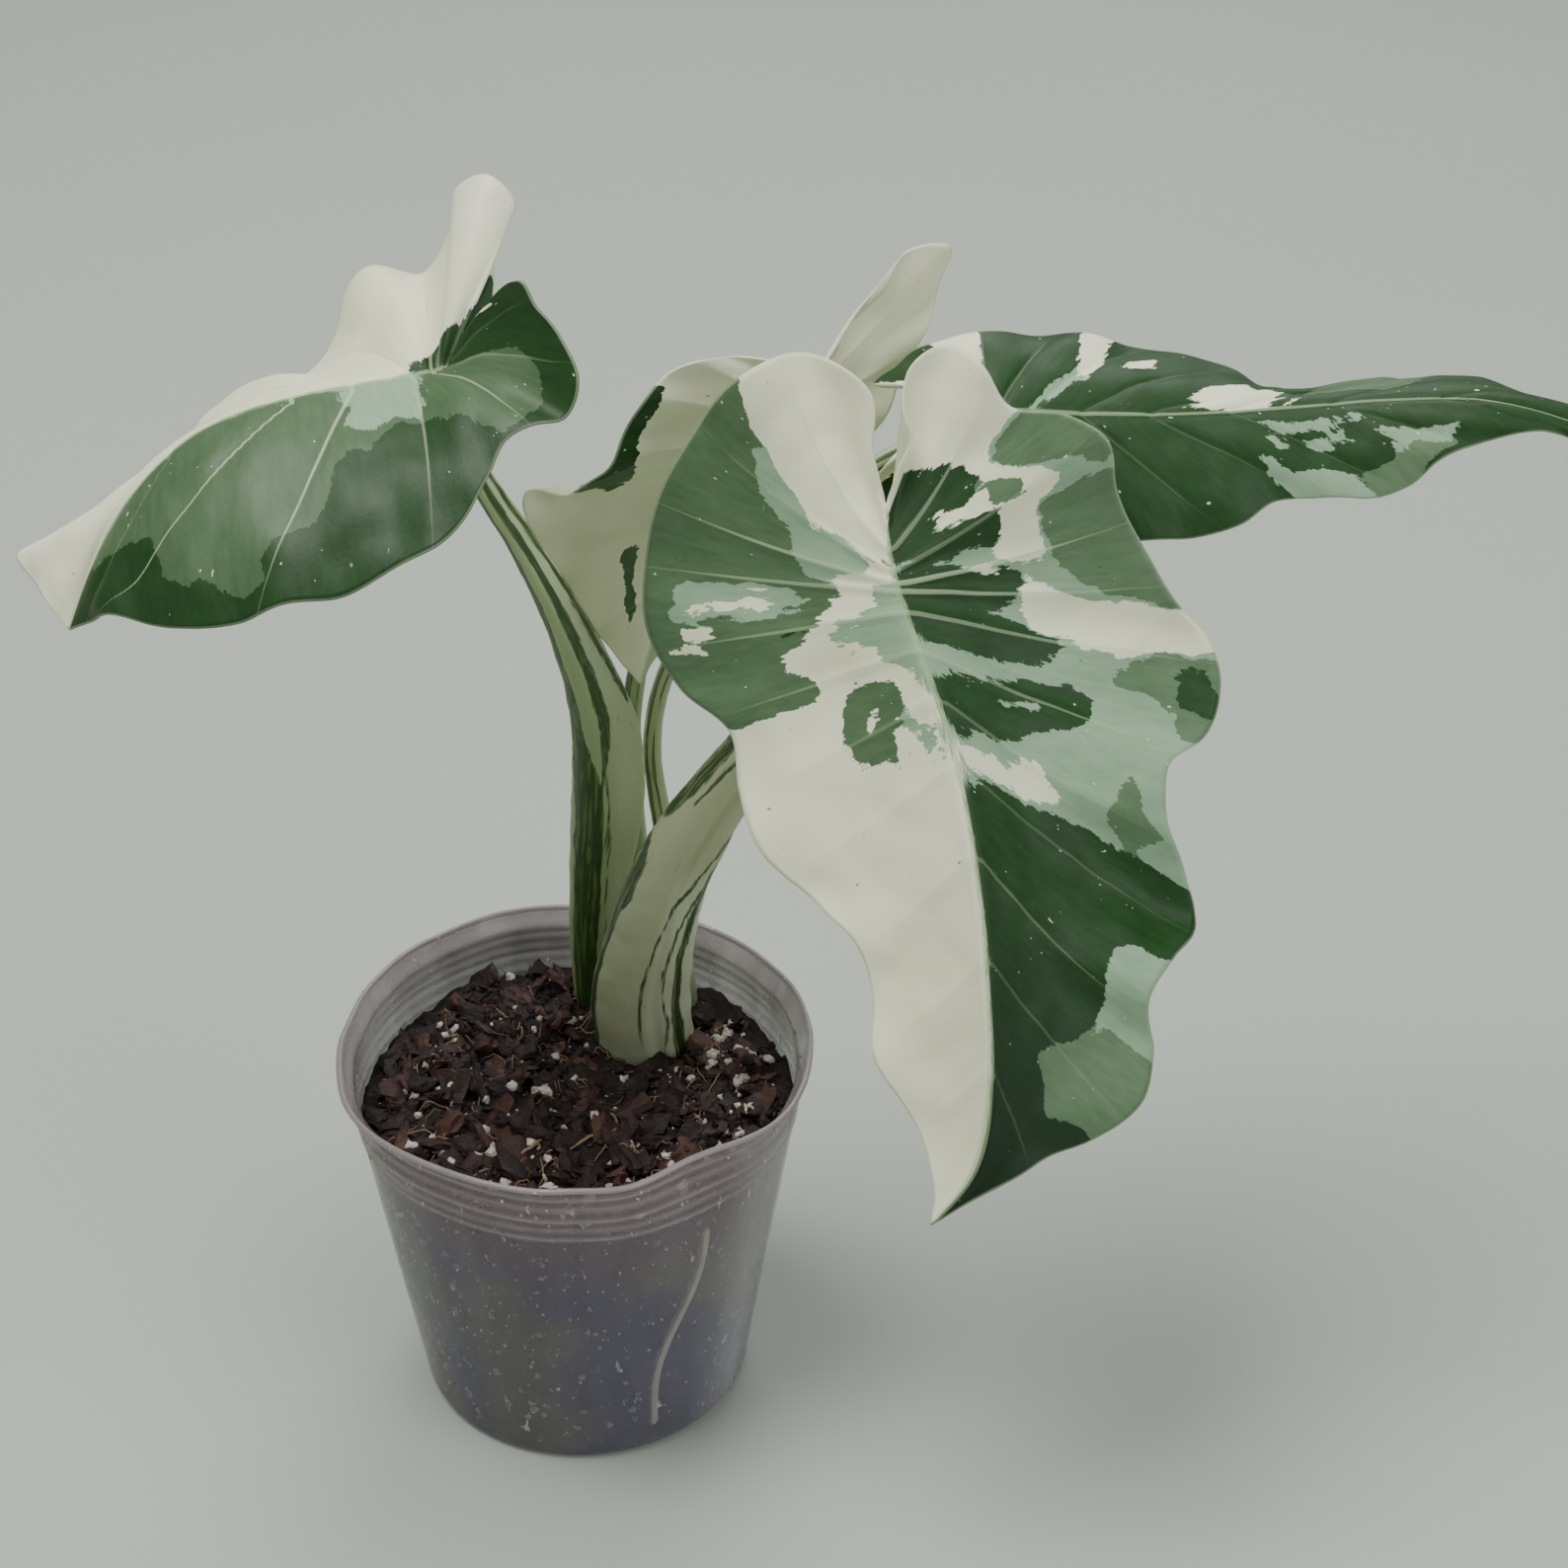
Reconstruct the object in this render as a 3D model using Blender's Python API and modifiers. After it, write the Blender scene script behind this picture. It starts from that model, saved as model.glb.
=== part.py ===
"""A potted alocasia: a thin clear nursery pot, its bark potting mix, and a plant with four leaves.

The origin is the centre of the pot's foot and +Z is up. Everything is in metres. The plant's own points are
listed in millimetres from its crown, where the petioles meet the potting mix, so that the plant stands on
the mix whatever the pot's size.
"""

import math
import random

import bmesh
import bpy
import numpy as np

MM = 0.001

# The pot
POT_HEIGHT = 105 * MM
RIM_RADIUS = 60 * MM
FOOT_RADIUS = 42.5 * MM
POT_WALL = 0.6 * MM
RIM_BEAD = 1.3 * MM
RIM_DEPTH = 3 * MM  # from the rim down to where the plain wall starts
FOOT_ROUNDING = 4 * MM
RIDGE_COUNT = 5
RIDGE_PITCH = 3.2 * MM
RIDGE_DROP = 6 * MM  # from the rim down to the first ridge
RIDGE_DEPTH = 0.5 * MM
RIDGE_HALF = 1.1 * MM  # half a ridge's height
DRAIN_COUNT = 6
DRAIN_RADIUS = 2.5 * MM
DRAIN_CIRCLE = 27 * MM

# The potting mix and what lies on it
MIX_BELOW_RIM = 18 * MM
CLEARANCE = 0.3 * MM  # between pieces that touch
CHIP_COUNT = 12
CHIP_SIZES = (4.4 * MM, 7.4 * MM)
CHIP_HEIGHTS = (2.2 * MM, 4 * MM)
CHIP_WEAR = 0.5 * MM
GRAIN_COUNT = 10
GRAIN_SIZES = (1.3 * MM, 2.1 * MM)
FIBRE_COUNT = 3
FIBRE_RADIUS = 0.4 * MM
FIBRE_LENGTH = 15 * MM
FIBRE_BEND = 5 * MM
FIRST_FIBRE = (-22 * MM, -33 * MM)
NEXT_FIBRE = (17 * MM, 5 * MM)  # from each fibre's start to the next one's

# The plant
CROWN_BEARING = math.radians(64.2)  # from the pot's axis towards the crown
CORM_TO_SIDE = 1.6 * MM  # between the corm and the side of the mix
CORM_RADIUS = 19 * MM
CORM_DEPTH = 26 * MM
CORM_SHOULDER = 4 * MM  # height of the corm's upright side
CORM_BELOW_MIX = 1.3 * MM
BLADE_THICKNESS = 0.6 * MM
BLADE_RIBS = 28
BLADE_COLUMNS = 4  # on each side of the midrib
PETIOLE_SIDES = 14
PETIOLE_RINGS = 22
WALL_ROOT_RADIUS = 0.9 * MM
WALL_ROOT_ENDS = (5 * MM, 4 * MM)  # below the top of the mix, and above the foot's rounding

AROUND = 48  # sides of the turned shapes

FLOOR_TOP = POT_WALL
MIX_BOTTOM = FLOOR_TOP + CLEARANCE
MIX_TOP = POT_HEIGHT - MIX_BELOW_RIM
CORM_TOP = MIX_TOP - CORM_BELOW_MIX
PETIOLE_START = CORM_TOP + CLEARANCE

# Each leaf: the midrib from the bottom of the basal notch to the tip, and the margin of each half from the
# notch round its basal lobe to the tip. "fold" is how far along the midrib and along the margin the vein
# that ends the basal lobe runs, and "swell" is how far the half stands out of the flat, as a share of its
# width.
LEAVES = {
    "front": {
        "midrib": [
            (61, -37, 173), (62, -43, 162), (67, -53, 149), (75, -66, 131), (81, -83, 107),
            (84, -97, 82), (85, -104, 62), (81, -109, 37), (72, -111, 24),
        ],
        "left": [
            (58, -33, 186), (57, -29, 196), (43, -23, 204), (27, -29, 200), (17, -31, 187),
            (9, -33, 171), (6, -36, 156), (7, -43, 142), (14, -47, 130), (25, -51, 122), (27, -58, 110),
            (33, -65, 97), (46, -73, 87), (55, -79, 81), (58, -84, 71), (59, -91, 59), (66, -97, 48),
            (71, -103, 38), (73, -107, 30),
        ],
        "right": [
            (64, -35, 181), (67, -31, 187), (65, -28, 193), (66, -24, 200), (75, -19, 204),
            (82, -22, 201), (89, -24, 191), (102, -26, 190), (111, -28, 185), (114, -29, 173),
            (122, -31, 157), (129, -33, 145), (137, -35, 137), (140, -39, 128), (136, -46, 117),
            (128, -54, 115), (127, -60, 103), (132, -62, 89), (135, -66, 77), (128, -76, 75),
            (122, -83, 70), (124, -85, 55), (121, -91, 45), (111, -97, 39), (96, -103, 36),
            (83, -109, 31),
        ],
        "fold": {"left": (0.11, 0.36), "right": (0.11, 0.36)},
        "swell": {"left": 0.07, "right": 0.07},
    },
    "left": {
        "midrib": [
            (-34, -31, 204), (-39, -33, 204), (-61, -39, 203), (-73, -43, 202), (-91, -47, 196),
            (-107, -51, 181), (-117, -57, 164), (-121, -61, 154),
        ],
        "left": [
            (-26, -33, 209), (-21, -35, 216), (-23, -37, 223), (-16, -43, 229), (-8, -51, 224),
            (-6, -56, 214), (-9, -59, 206), (-22, -64, 202), (-25, -69, 197), (-30, -75, 189),
            (-40, -81, 183), (-55, -86, 177), (-68, -86, 174), (-78, -85, 170), (-88, -83, 167),
            (-100, -77, 165), (-108, -72, 164), (-115, -66, 159),
        ],
        "right": [
            (-27, -25, 211), (-27, -17, 218), (-26, -9, 226), (-22, -5, 232), (-29, -1, 237),
            (-35, 1, 234), (-38, 5, 221), (-45, 7, 210), (-57, 7, 211), (-63, 5, 205), (-66, 3, 197),
            (-74, -5, 188), (-88, -9, 189), (-95, -15, 183), (-108, -23, 168), (-119, -35, 163),
            (-128, -41, 165), (-134, -45, 164), (-130, -51, 161),
        ],
        "fold": {"left": (0.06, 0.38), "right": (0.06, 0.38)},
        "swell": {"left": 0.08, "right": 0.05},
    },
    "back": {
        "midrib": [
            (44, -1, 184), (39, -3, 173), (28, -3, 158), (16, -3, 141), (7, -4, 120), (3, -5, 106),
        ],
        "left": [
            (37, -1, 191), (28, -3, 193), (17, -7, 194), (12, -9, 192), (7, -10, 188), (1, -11, 178),
            (-5, -11, 166), (-13, -9, 161), (-23, -7, 159), (-20, -5, 144), (-9, -3, 122),
        ],
        "right": [
            (51, 7, 192), (58, 11, 200), (67, 15, 212), (76, 19, 212), (75, 19, 201), (72, 16, 192),
            (66, 11, 180), (59, 7, 168), (49, 4, 156), (33, 1, 140), (15, -1, 122), (6, -3, 112),
        ],
        "fold": {"left": (0.14, 0.4), "right": (0.14, 0.5)},
        "swell": {"left": 0.04, "right": 0.04},
    },
    "right": {
        "midrib": [
            (78, -9, 183), (85, -9, 183), (108, -7, 181), (131, -5, 180), (154, -4, 181),
            (177, -4, 183), (200, -6, 184), (220, -9, 180), (237, -13, 173),
        ],
        "left": [
            (74, -6, 184), (67, -2, 185), (59, 0, 186), (64, 4, 187), (68, 8, 189), (75, 12, 191),
            (84, 15, 190), (100, 19, 188), (119, 21, 186), (134, 19, 183), (145, 16, 182),
            (152, 9, 179), (165, 7, 181), (179, 9, 181), (197, 9, 182), (211, 3, 182), (223, -5, 180),
        ],
        "right": [
            (71, -12, 180), (63, -16, 174), (58, -17, 166), (62, -20, 159), (76, -22, 155),
            (92, -23, 155), (108, -23, 155), (123, -23, 156), (134, -23, 157), (144, -21, 159),
            (152, -17, 163), (163, -17, 164), (177, -18, 165), (184, -17, 168), (189, -15, 172),
            (199, -13, 176), (213, -11, 178), (226, -12, 175),
        ],
        "fold": {"left": (0.05, 0.25), "right": (0.05, 0.25)},
        "swell": {"left": 0.05, "right": 0.05},
    },
}

# Each petiole from the crown up to its leaf: a centre point, half its width, and half its depth.
PETIOLES = {
    "left": [
        ((-10, 7, 0), 6.6, 6), ((-11, 5, 20), 7, 6), ((-9, 2, 47), 8, 6), ((-6, -4, 75), 9.2, 6),
        ((-6, -11, 99), 8.2, 5.2), ((-10, -17, 120), 6.2, 4.6), ((-16, -23, 141), 4.6, 4),
        ((-23, -27, 159), 3.6, 3.4), ((-30, -30, 174), 3, 3), ((-36, -32, 190), 2.6, 2.6),
        ((-39, -33, 201), 1.4, 1.4),
    ],
    "front": [
        ((2, -7, 0), 13, 8), ((1, -10, 17), 12.6, 7.5), ((4, -12, 35), 11.4, 7.5),
        ((9, -15, 55), 10, 7), ((17, -18, 74), 8.8, 6.5), ((27, -21, 92), 7.4, 6),
        ((39, -27, 115), 5.6, 5), ((52, -32, 139), 4.2, 4), ((60, -38, 155), 3, 3),
        ((61, -41, 160), 1.4, 1.4),
    ],
    "back": [
        ((2, 12, 0), 3.5, 3.5), ((0, 13, 36), 3.4, 3.4), ((-1, 10, 68), 3, 3), ((0, 6, 93), 2.8, 2.8),
        ((3, 5, 110), 2.6, 2.6), ((13, 8, 134), 2.5, 2.5), ((25, 9, 153), 2.3, 2.3),
        ((35, 5, 167), 2, 2), ((39, 0, 171), 1.2, 1.2),
    ],
    "right": [
        ((12, 7, 0), 3.4, 3.4), ((10, 6, 30), 3, 3), ((7, 4, 60), 2.6, 2.6), ((5, 2, 82), 2.3, 2.3),
        ((7, -3, 101), 2.2, 2.2), ((12, -9, 118), 2.2, 2.2), ((25, -13, 140), 2.2, 2.2),
        ((46, -12, 160), 2.2, 2.2), ((65, -7, 171), 2.1, 2.1), ((79, -6, 177), 1.8, 1.8),
        ((84, -7, 181), 1.1, 1.1),
    ],
}


def clear_scene():
    for old in list(bpy.data.objects):
        bpy.data.objects.remove(old)


def collection_named(name):
    made = bpy.data.collections.new(name)
    bpy.context.scene.collection.children.link(made)
    return made


def material(name, colour, roughness, alpha=1.0):
    made = bpy.data.materials.new(name)
    made.use_nodes = True
    shader = made.node_tree.nodes["Principled BSDF"]
    shader.inputs["Base Color"].default_value = (*colour, 1)
    shader.inputs["Roughness"].default_value = roughness
    shader.inputs["Metallic"].default_value = 0
    shader.inputs["Alpha"].default_value = alpha
    return made


def node(name, mesh, look, into):
    made = bpy.data.objects.new(name, mesh)
    mesh.materials.clear()
    mesh.materials.append(look)
    into.objects.link(made)
    return made


def mesh_of(name, points, faces):
    mesh = bpy.data.meshes.new(name)
    mesh.from_pydata([tuple(p) for p in points], [], faces)
    mesh.validate()
    mesh.shade_smooth()
    return mesh


def turned(name, profile):
    """The mesh of a body of revolution whose profile, in (radius, height), runs down its outer side."""
    mesh = bpy.data.meshes.new(name)
    edges = [(i, i + 1) for i in range(len(profile) - 1)]
    mesh.from_pydata([(r, 0, z) for r, z in profile], edges, [])
    return realised(name, mesh, screw)


def screw(body):
    turn = body.modifiers.new("Turn", "SCREW")
    turn.steps = turn.render_steps = AROUND
    turn.use_merge_vertices = True
    turn.merge_threshold = 0.00001


def realised(name, data, prepare=None):
    """The evaluated mesh of a curve or a mesh with modifiers, with its loose caps joined on."""
    source = bpy.data.objects.new(name + "_source", data)
    bpy.context.scene.collection.objects.link(source)
    if prepare:
        prepare(source)
    bpy.context.view_layer.update()
    graph = bpy.context.evaluated_depsgraph_get()
    mesh = bpy.data.meshes.new_from_object(source.evaluated_get(graph))
    mesh.name = name
    bpy.data.objects.remove(source)
    weld(mesh)
    mesh.shade_smooth()
    return mesh


def weld(mesh):
    work = bmesh.new()
    work.from_mesh(mesh)
    bmesh.ops.remove_doubles(work, verts=work.verts, dist=0.000002)
    bmesh.ops.recalc_face_normals(work, faces=work.faces)
    work.to_mesh(mesh)
    work.free()


def tube(name, points, radius):
    """The mesh of a round tube along a smooth run of points."""
    curve = bpy.data.curves.new(name, "CURVE")
    curve.dimensions = "3D"
    curve.bevel_depth = radius
    curve.bevel_resolution = 2
    curve.use_fill_caps = True
    run = curve.splines.new("POLY")
    run.points.add(len(points) - 1)
    for place, point in zip(run.points, points):
        place.co = (*point, 1)
    return realised(name, curve)


def cut(body, cutter):
    cutter.hide_render = True
    cutter.display_type = "WIRE"
    less = body.modifiers.new("Cut " + cutter.name, "BOOLEAN")
    less.operation = "DIFFERENCE"
    less.object = cutter


# The pot and what fills it


def wall_radius(height):
    """The outer radius of the pot's plain wall at a height."""
    below_bead = RIM_RADIUS - RIM_BEAD
    return FOOT_RADIUS + (below_bead - FOOT_RADIUS) * height / POT_HEIGHT


def wall_profile(inset, ridges):
    """The wall from below the rim down through its ridges and the foot's rounding, moved in by inset."""
    points = [(wall_radius(POT_HEIGHT - RIM_DEPTH) - inset, POT_HEIGHT - RIM_DEPTH)]
    for ridge in range(ridges):
        middle = POT_HEIGHT - RIDGE_DROP - ridge * RIDGE_PITCH
        for rise, out in ((RIDGE_HALF, 0), (0, RIDGE_DEPTH), (-RIDGE_HALF, 0)):
            points.append((wall_radius(middle + rise) - inset + out, middle + rise))
    arc_centre = (wall_radius(FOOT_ROUNDING) - FOOT_ROUNDING, FOOT_ROUNDING)
    reach = FOOT_ROUNDING - inset
    for turn in np.linspace(0, math.pi / 2, 5):
        points.append((arc_centre[0] + reach * math.cos(turn), arc_centre[1] - reach * math.sin(turn)))
    return points


def pot_profile():
    bead_centre = (RIM_RADIUS - RIM_BEAD, POT_HEIGHT - RIM_BEAD)
    bead = [
        (bead_centre[0] + RIM_BEAD * math.cos(turn), bead_centre[1] + RIM_BEAD * math.sin(turn))
        for turn in np.radians(np.linspace(150, -60, 8))
    ]
    inside = wall_profile(POT_WALL, ridges=0)[::-1]
    outside = wall_profile(0, ridges=RIDGE_COUNT)
    return [(0, FLOOR_TOP), *inside, *bead, *outside, (0, 0)]


def build_pot(look, into, cutters):
    pot = node("pot", turned("pot", pot_profile()), look, into)
    for number in range(DRAIN_COUNT):
        angle = math.tau * number / DRAIN_COUNT
        bpy.ops.mesh.primitive_cylinder_add(
            vertices=16,
            radius=DRAIN_RADIUS,
            depth=10 * POT_WALL,
            location=(DRAIN_CIRCLE * math.cos(angle), DRAIN_CIRCLE * math.sin(angle), 0),
        )
        drain = bpy.context.object
        drain.name = f"drain_cutter_{number + 1}"
        for held in drain.users_collection:
            held.objects.unlink(drain)
        cutters.objects.link(drain)
        cut(pot, drain)
    return pot


def mix_radius(height):
    return wall_radius(height) - POT_WALL - CLEARANCE


def crown():
    """Where the petioles meet the mix: the corm stands against the pot's wall there."""
    reach = mix_radius(MIX_TOP) - CORM_TO_SIDE - CORM_RADIUS
    return reach * math.cos(CROWN_BEARING), reach * math.sin(CROWN_BEARING)


def wall_root_points():
    """A root that runs down between the mix and the wall, from under the surface to the foot."""
    top = MIX_TOP - WALL_ROOT_ENDS[0]
    bottom = FOOT_ROUNDING + WALL_ROOT_ENDS[1]
    run = []
    for share in np.linspace(0, 1, 14):
        height = top + (bottom - top) * share
        bearing = math.radians(-51 - 14 * share + 2.5 * math.sin(7 * share))
        reach = mix_radius(height) - WALL_ROOT_RADIUS
        run.append((reach * math.cos(bearing), reach * math.sin(bearing), height))
    return run


def corm_profile(margin):
    """Down the outer side of the corm: a squat knob under the petioles, grown by margin."""
    radius = CORM_RADIUS + margin
    shoulder = CORM_TOP - CORM_SHOULDER
    bottom = CORM_TOP - CORM_DEPTH - margin
    top = CORM_TOP + (CORM_DEPTH if margin else 0)
    knob = [(0, top), (radius, top)]
    for turn in np.linspace(0, math.pi / 2, 7)[:-1]:
        knob.append((radius * math.cos(turn), shoulder - (shoulder - bottom) * math.sin(turn)))
    knob.append((0, bottom))
    return knob


def build_mix(looks, into, cutters):
    foot = FOOT_RADIUS - FOOT_ROUNDING - CLEARANCE
    above_rounding = FOOT_ROUNDING + 2 * CLEARANCE
    profile = [
        (0, MIX_TOP),
        (mix_radius(MIX_TOP), MIX_TOP),
        (mix_radius(above_rounding), above_rounding),
        (foot, MIX_BOTTOM),
        (0, MIX_BOTTOM),
    ]
    mix = node("potting_mix", turned("potting_mix", profile), looks["mix"], into)

    pocket = node("corm_pocket", turned("corm_pocket", corm_profile(CLEARANCE)), looks["mix"], cutters)
    pocket.location = (*crown(), 0)
    cut(mix, pocket)
    corm = node("corm", turned("corm", corm_profile(0)), looks["corm"], into)
    corm.location = (*crown(), 0)

    run = wall_root_points()
    groove = tube("root_groove", run, WALL_ROOT_RADIUS + 2.5 * CLEARANCE)
    cut(mix, node("root_groove", groove, looks["mix"], cutters))
    node("wall_root", tube("wall_root", run[1:-1], WALL_ROOT_RADIUS), looks["root"], into)


# What lies on the mix


def free_spot(chance, taken, size):
    """A place on the mix where a piece of this size is clear of the petioles, the wall and other pieces."""
    limit = mix_radius(MIX_TOP) - size - 1 * MM
    while True:
        reach = limit * math.sqrt(chance.random())
        bearing = chance.uniform(0, math.tau)
        spot = (reach * math.cos(bearing), reach * math.sin(bearing))
        if all(math.dist(spot, other) > size + other_size + CLEARANCE for other, other_size in taken):
            taken.append((spot, size))
            return spot


def fibre_points(number):
    """A coir fibre's loose curl on the front of the mix."""
    start = [first + step * number for first, step in zip(FIRST_FIBRE, NEXT_FIBRE)]
    height = MIX_TOP + FIBRE_RADIUS + CLEARANCE
    turn = math.radians(15 + 30 * number)
    run = []
    for share in np.linspace(0, 1, 12):
        across = FIBRE_LENGTH * share
        bend = FIBRE_BEND * math.sin(math.pi * share * (1 + 0.3 * number))
        run.append(
            (
                start[0] + across * math.cos(turn) - bend * math.sin(turn),
                start[1] + across * math.sin(turn) + bend * math.cos(turn),
                height,
            )
        )
    return run


def build_surface_pieces(looks, into):
    chance = random.Random(11)
    taken = [(crown(), CORM_RADIUS + 1 * MM)]
    for number in range(FIBRE_COUNT):
        run = fibre_points(number)
        taken += [(place[:2], 2 * FIBRE_RADIUS) for place in run]
        node(f"coir_fibre_{number + 1}", tube("coir_fibre", run, FIBRE_RADIUS), looks["fibre"], into)
    for number in range(CHIP_COUNT):
        size = chance.uniform(*CHIP_SIZES)
        spot = free_spot(chance, taken, size)
        tall = chance.uniform(*CHIP_HEIGHTS)
        bpy.ops.mesh.primitive_cube_add(size=1)
        chip = bpy.context.object
        chip.name = f"bark_chip_{number + 1:02d}"
        for corner in chip.data.vertices:
            corner.co.x *= size * chance.uniform(0.9, 1.25)
            corner.co.y *= size * chance.uniform(0.6, 1.0)
            corner.co.z = corner.co.z * tall * (chance.uniform(0.6, 1) if corner.co.z > 0 else 1)
        chip.rotation_euler.z = chance.uniform(0, math.tau)
        chip.location = (*spot, MIX_TOP + CLEARANCE + tall / 2)
        round_off = chip.modifiers.new("Worn edges", "BEVEL")
        round_off.width = CHIP_WEAR
        round_off.segments = 1
        claim(chip, looks["bark"], into)
    for number in range(GRAIN_COUNT):
        size = chance.uniform(*GRAIN_SIZES)
        spot = free_spot(chance, taken, size)
        bpy.ops.mesh.primitive_ico_sphere_add(subdivisions=1, radius=size)
        grain = bpy.context.object
        grain.name = f"perlite_grain_{number + 1:02d}"
        for point in grain.data.vertices:
            point.co *= chance.uniform(0.8, 1)
        grain.location = (*spot, MIX_TOP + CLEARANCE + size)
        claim(grain, looks["perlite"], into)


def claim(piece, look, into):
    """Moves a primitive into the object's collection and gives it its material."""
    for held in piece.users_collection:
        held.objects.unlink(piece)
    into.objects.link(piece)
    piece.data.materials.append(look)
    bpy.context.view_layer.update()


# The plant


def smooth_run(points):
    """A function of 0 to 1 that gives the place along a smooth curve through the points."""
    places = np.array(points, float)
    gaps = np.linalg.norm(np.diff(places, axis=0), axis=1)
    knots = np.concatenate([[0], np.cumsum(gaps)]) / gaps.sum()
    slopes = np.gradient(places, knots, axis=0)

    def at(share):
        left = int(np.clip(np.searchsorted(knots, share, side="right") - 1, 0, len(gaps) - 1))
        step = knots[left + 1] - knots[left]
        w = (share - knots[left]) / step
        return (
            (2 * w**3 - 3 * w**2 + 1) * places[left]
            + (w**3 - 2 * w**2 + w) * step * slopes[left]
            + (3 * w**2 - 2 * w**3) * places[left + 1]
            + (w**3 - w**2) * step * slopes[left + 1]
        )

    return at


def plant_place(point):
    """A plant point in millimetres from the crown, as a place in metres."""
    return np.array(point, float) * MM + (*crown(), MIX_TOP)


def midrib_share(share, start, reach):
    """How far along the midrib the rib that meets the margin at a share of its length begins."""
    if share < reach:
        return start * share / reach
    return start + (1 - start) * (share - reach) / (1 - reach)


def blade_points(leaf):
    """Rows of points over the blade, each from the left margin through the midrib to the right margin."""
    midrib = smooth_run([plant_place(p) for p in leaf["midrib"]])
    notch, tip = leaf["midrib"][0], leaf["midrib"][-1]
    margins = {
        side: smooth_run([plant_place(p) for p in (notch, *leaf[side], tip)]) for side in ("left", "right")
    }
    rows = []
    for row in range(1, BLADE_RIBS):
        share = row / BLADE_RIBS
        line = {}
        for side, outward in (("left", 1), ("right", -1)):
            along = midrib_share(share, *leaf["fold"][side])
            root, edge = midrib(along), margins[side](share)
            forward = midrib(min(1, along + 0.02)) - midrib(max(0, along - 0.02))
            normal = np.cross(forward, edge - root) * outward
            size = np.linalg.norm(normal)
            normal = normal / size if size > 1e-12 else normal
            swell = leaf["swell"][side] * np.linalg.norm(edge - root)
            line[side] = [
                root + (edge - root) * w + normal * swell * math.sin(math.pi * w)
                for w in (np.arange(1, BLADE_COLUMNS + 1) / BLADE_COLUMNS)
            ]
            line["root" + side] = root
        middle = (line["rootleft"] + line["rootright"]) / 2
        rows.append([*line["left"][::-1], middle, *line["right"]])
    return plant_place(notch), rows, plant_place(tip)


def build_blade(name, leaf, look, into):
    first, rows, last = blade_points(leaf)
    wide = len(rows[0])
    points = [first, *(p for row in rows for p in row), last]
    faces = []
    for a in range(wide - 1):
        faces.append((0, 1 + a + 1, 1 + a))
        end = 1 + (len(rows) - 1) * wide + a
        faces.append((end, end + 1, len(points) - 1))
    for row in range(len(rows) - 1):
        for a in range(wide - 1):
            corner = 1 + row * wide + a
            faces.append((corner, corner + 1, corner + wide + 1, corner + wide))
    blade = node(name, mesh_of(name, points, faces), look, into)
    weld(blade.data)
    thick = blade.modifiers.new("Blade", "SOLIDIFY")
    thick.thickness = BLADE_THICKNESS
    thick.offset = 0
    return blade


def petiole_mesh(name, stations):
    """A tapering stalk: oval rings along a smooth line, closed at both ends."""
    centre = smooth_run([plant_place(p) for p, _, _ in stations])
    centres = np.array([p for p, _, _ in stations], float)
    gaps = np.linalg.norm(np.diff(centres, axis=0), axis=1)
    knots = np.concatenate([[0], np.cumsum(gaps)]) / gaps.sum()
    points, faces = [], []
    for step in range(PETIOLE_RINGS + 1):
        share = step / PETIOLE_RINGS
        forward = centre(min(1, share + 0.01)) - centre(max(0, share - 0.01))
        forward = np.array((0.0, 0.0, 1.0)) if step == 0 else forward / np.linalg.norm(forward)
        sideways = np.cross((0, 1, 0), forward)
        sideways /= np.linalg.norm(sideways)
        depthways = np.cross(forward, sideways)
        half_width = np.interp(share, knots, [w for _, w, _ in stations]) * MM
        half_depth = np.interp(share, knots, [d for _, _, d in stations]) * MM
        middle = centre(share)
        if step == 0:
            middle = np.array((middle[0], middle[1], PETIOLE_START))
        for turn in np.arange(PETIOLE_SIDES) * math.tau / PETIOLE_SIDES:
            outward = sideways * half_width * math.cos(turn) + depthways * half_depth * math.sin(turn)
            points.append(middle + outward)
    for step in range(PETIOLE_RINGS):
        for a in range(PETIOLE_SIDES):
            b = (a + 1) % PETIOLE_SIDES
            low, high = step * PETIOLE_SIDES, (step + 1) * PETIOLE_SIDES
            faces.append((low + a, low + b, high + b, high + a))
    faces.append(tuple(range(PETIOLE_SIDES))[::-1])
    faces.append(tuple(PETIOLE_RINGS * PETIOLE_SIDES + a for a in range(PETIOLE_SIDES)))
    mesh = mesh_of(name, points, faces)
    weld(mesh)
    return mesh


def build_plant(looks, into):
    for side, leaf in LEAVES.items():
        build_blade(f"blade_{side}", leaf, looks["leaf"], into)
        stalk = petiole_mesh(f"petiole_{side}", PETIOLES[side])
        node(f"petiole_{side}", stalk, looks["petiole"], into)


def main():
    clear_scene()
    parts = collection_named("potted_alocasia")
    cutters = collection_named("cutters")
    looks = {
        "pot": material("clear_plastic", (0.50, 0.47, 0.52), 0.15, alpha=0.35),
        "mix": material("bark_mix", (0.06, 0.03, 0.03), 0.95),
        "bark": material("bark_chips", (0.10, 0.05, 0.04), 0.9),
        "perlite": material("perlite", (0.75, 0.73, 0.70), 0.95),
        "fibre": material("coir", (0.42, 0.28, 0.16), 0.9),
        "root": material("root", (0.70, 0.66, 0.56), 0.7),
        "corm": material("corm", (0.16, 0.14, 0.06), 0.8),
        "leaf": material("leaf", (0.12, 0.22, 0.11), 0.45),
        "petiole": material("petiole", (0.45, 0.52, 0.30), 0.5),
    }
    build_pot(looks["pot"], parts, cutters)
    build_mix(looks, parts, cutters)
    build_surface_pieces(looks, parts)
    build_plant(looks, parts)


main()
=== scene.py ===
"""The looks of the potted alocasia: a clear crumpled nursery pot, bark mix, streaked petioles and four
variegated leaves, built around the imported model's nodes. Places are in metres, and the leaves' own points are
in millimetres from the crown, where the petioles meet the potting mix, as the model's are."""

import math
import random

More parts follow.
